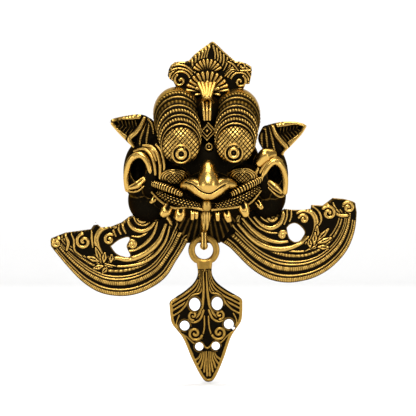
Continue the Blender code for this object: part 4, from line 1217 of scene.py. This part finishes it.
def carve_pendant(art):
    """Both sides alike: strands, stem, scrolls, lines and the point's fan, then rings round the holes. A rim
    follows the edge except beside a hole."""
    x, z = art.spots.T
    plain_part = step(-24, -20.5, z)
    art.rubbed[:] = 0.06 + 0.70 * plain_part
    art.height += 0.9 * plain_part * step(0, 3, art.edge)
    for side in (-1, 1):
        for strand in PENDANT_STRANDS:
            line = [(side * x, z) for x, z in strand]
            art.stroke(line, 1.1, 1.4, taper=(0.55, 0.75, 1.1, 1.15, 1), groove=0.6, shine=0.9)
        stem = [(side * x, z) for x, z in PENDANT_STEM]
        art.stroke(stem, 1.5, 1.7, taper=(0.5, 0.9, 1.1, 1), groove=0.5)
        upper = spiral(side * 13.2, -64.6, 4.8, 1.1, 270, side, 0.2)
        lower = spiral(side * 12.0, -82.6, 7.2, 1.4, 200 if side > 0 else -20, side, 0.14)
        tendril, stalk_line, under, outer = ([(side * x, z) for x, z in line] for line in PENDANT_LINES)
        art.stroke(tendril, 1.3, 1.4, groove=0.5)
        art.stroke(upper, 1.4, 1.6, groove=0.4)
        art.stroke(stalk_line, 0.9, 1.2, groove=0.5)
        art.stroke(lower, 1.55, 1.7, groove=0.4)
        art.stroke(under, 0.9, 1.2, groove=0.5)
        art.stroke(outer, 0.8, 1.1, groove=0.5)
        for k in range(5):
            top = (side * (1.2 + 1.5 * k), -101 - 0.4 * k)
            middle = (side * (1.2 + 1.9 * k), -112 + 1.4 * k)
            end = (side * (1.4 + 2.9 * k), -125 + 3.9 * k)
            art.stroke([top, middle, end], 1.25, 1.4, taper=(0.5, 1, 1), groove=0.35)
        for (hx, hz), (wide, tall) in PENDANT_HOLES:
            gap = np.abs(np.hypot((x - side * hx) / (wide + 1.2), (z - hz) / (tall + 1.2)) - 1)
            ring = gap < 0.13
            art.height[ring] = art.level + 0.5
            art.rubbed[ring] = 0.45
    art.stroke([(-6, -92), (-0.3, -97.5), (6, -92)], 1.2, 1.6, groove=0.5)
    rim = step(3.1, 2.5, art.edge) * step(-44, -48, z)
    near_hole = np.zeros(len(x), bool)
    for side in (-1, 1):
        for (hx, hz), (wide, tall) in PENDANT_HOLES:
            near_hole |= np.hypot((x - side * hx) / (wide + 3.2), (z - hz) / (tall + 3.2)) < 1
    rim = rim * ~near_hole
    art.height = np.where(rim > 0.5, art.level + 1.3, art.height)
    art.rubbed = np.where(rim > 0.5, 0.88, art.rubbed)


half = flow(PENDANT_EDGE, 60)
eye_arc = circle(0, 0, EYE_OUTSIDE / 2, EYE_OUTSIDE / 2, 72)
arc = eye_arc[eye_arc[:, 1] > -12.6]
order = np.argsort(np.arctan2(arc[:, 0], arc[:, 1]))
outline = np.concatenate([arc[order], half, [(0, PENDANT_TIP)], half[::-1] * (-1, 1)])
holes = [circle(0, 0, EYE_HOLE / 2, EYE_HOLE / 2, 48)]
for (hx, hz), (wide, tall) in PENDANT_HOLES:
    holes += [circle(side * hx, hz, wide, tall, 30) for side in (-1, 1)]
front = PENDANT_PLATE / 2
leaf, leaf_faces, leaf_rubbed = carved_plate([outline, *holes], 0.41, -front, front - 0.2, 0.1, carve_pendant)
x, d, z = leaf.T
leaf = np.stack(
    [
        EYE_AT[0] + x * math.cos(LEAN) - z * math.sin(LEAN),
        EYE_DEPTH + d,
        EYE_AT[1] + x * math.sin(LEAN) + z * math.cos(LEAN),
    ],
    1,
)
pendant_piece = solid("leaf_pendant_form", [(leaf, leaf_faces, leaf_rubbed)])
pendant_piece.data.materials.append(brass("pendant_brass", (0.38, 0.222, 0.045), 0.34))
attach(pendant_piece, "root")
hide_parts("leaf_pendant")

# The studio
# A white paper sweep behind and below, a big soft light from above and in front, a weaker one from each side,
# one from above, one for the paper alone, and a long lens straight in front.

IMAGE_WIDE = 416 * UNIT
MIDDLE = -96 * UNIT
DISTANCE = 2.3
FLOOR = (EYE_AT[1] + PENDANT_TIP - 1.2) * UNIT
# The paper: half its width, where it ends in front and behind, how high it goes, and the radius of its bend.
HALF_PAPER, PAPER_FRONT, PAPER_BACK, PAPER_TOP, BEND = 4.0, -4.0, 3.6, 4.0, 0.6
MASK_MIDDLE = (0, 0, -0.06)


def white(name, value):
    """Dull white paper with no gloss."""
    material = bpy.data.materials.new(name)
    material.use_nodes = True
    shader = material.node_tree.nodes["Principled BSDF"]
    shader.inputs["Base Color"].default_value = (value, value, value, 1)
    shader.inputs["Roughness"].default_value = 0.9
    shader.inputs["Specular IOR Level"].default_value = 0.0
    return material


def softbox(name, place, target, wide, tall, watts):
    """A rectangular light that faces a spot."""
    lamp = bpy.data.lights.new(name, "AREA")
    lamp.shape = "RECTANGLE"
    lamp.size, lamp.size_y, lamp.energy = wide, tall, watts
    item = bpy.data.objects.new(name, lamp)
    item.location = place
    item.rotation_euler = (Vector(target) - Vector(place)).to_track_quat("-Z", "Y").to_euler()
    bpy.context.scene.collection.objects.link(item)


turn = np.linspace(0, math.pi / 2, 24)
bend = [(PAPER_BACK - BEND + BEND * math.sin(t), FLOOR + BEND - BEND * math.cos(t)) for t in turn]
profile = [(PAPER_FRONT, FLOOR), *bend, (PAPER_BACK, PAPER_TOP)]
points = [(x, y, z) for y, z in profile for x in (-HALF_PAPER, HALF_PAPER)]
quads = [(2 * i, 2 * i + 1, 2 * i + 3, 2 * i + 2) for i in range(len(profile) - 1)]
sweep_mesh = bpy.data.meshes.new("backdrop")
sweep_mesh.from_pydata(points, [], quads)
sweep_mesh.shade_smooth()
backdrop = bpy.data.objects.new("backdrop", sweep_mesh)
bpy.context.scene.collection.objects.link(backdrop)
backdrop.data.materials.append(white("paper", 0.80))

softbox("key", (-0.08, -1.15, 1.0), MASK_MIDDLE, 0.8, 0.6, 23)
softbox("fill_right", (1.1, -0.9, 0.15), MASK_MIDDLE, 0.5, 0.9, 6)
softbox("fill_left", (-1.2, -0.8, -0.05), MASK_MIDDLE, 0.5, 0.9, 6)
softbox("top", (0, -0.03, 1.1), (0, -0.02, -0.1), 0.6, 0.6, 8)
softbox("paper_light", (0, 1.0, 1.8), (0, 2.6, -0.1), 3.0, 1.5, 78)

world = bpy.data.worlds.new("studio")
world.use_nodes = True
world.node_tree.nodes["Background"].inputs["Color"].default_value = (1.0, 0.99, 0.97, 1)
world.node_tree.nodes["Background"].inputs["Strength"].default_value = 0.30
bpy.context.scene.world = world
bpy.context.scene.view_settings.view_transform = "Standard"

camera_data = bpy.data.cameras.new("camera")
camera_data.sensor_width = 36
camera_data.lens = 36 * DISTANCE / IMAGE_WIDE
camera = bpy.data.objects.new("camera", camera_data)
camera.location = (0, -DISTANCE, MIDDLE)
camera.rotation_euler = (math.pi / 2, 0, 0)
bpy.context.scene.collection.objects.link(camera)
bpy.context.scene.camera = camera
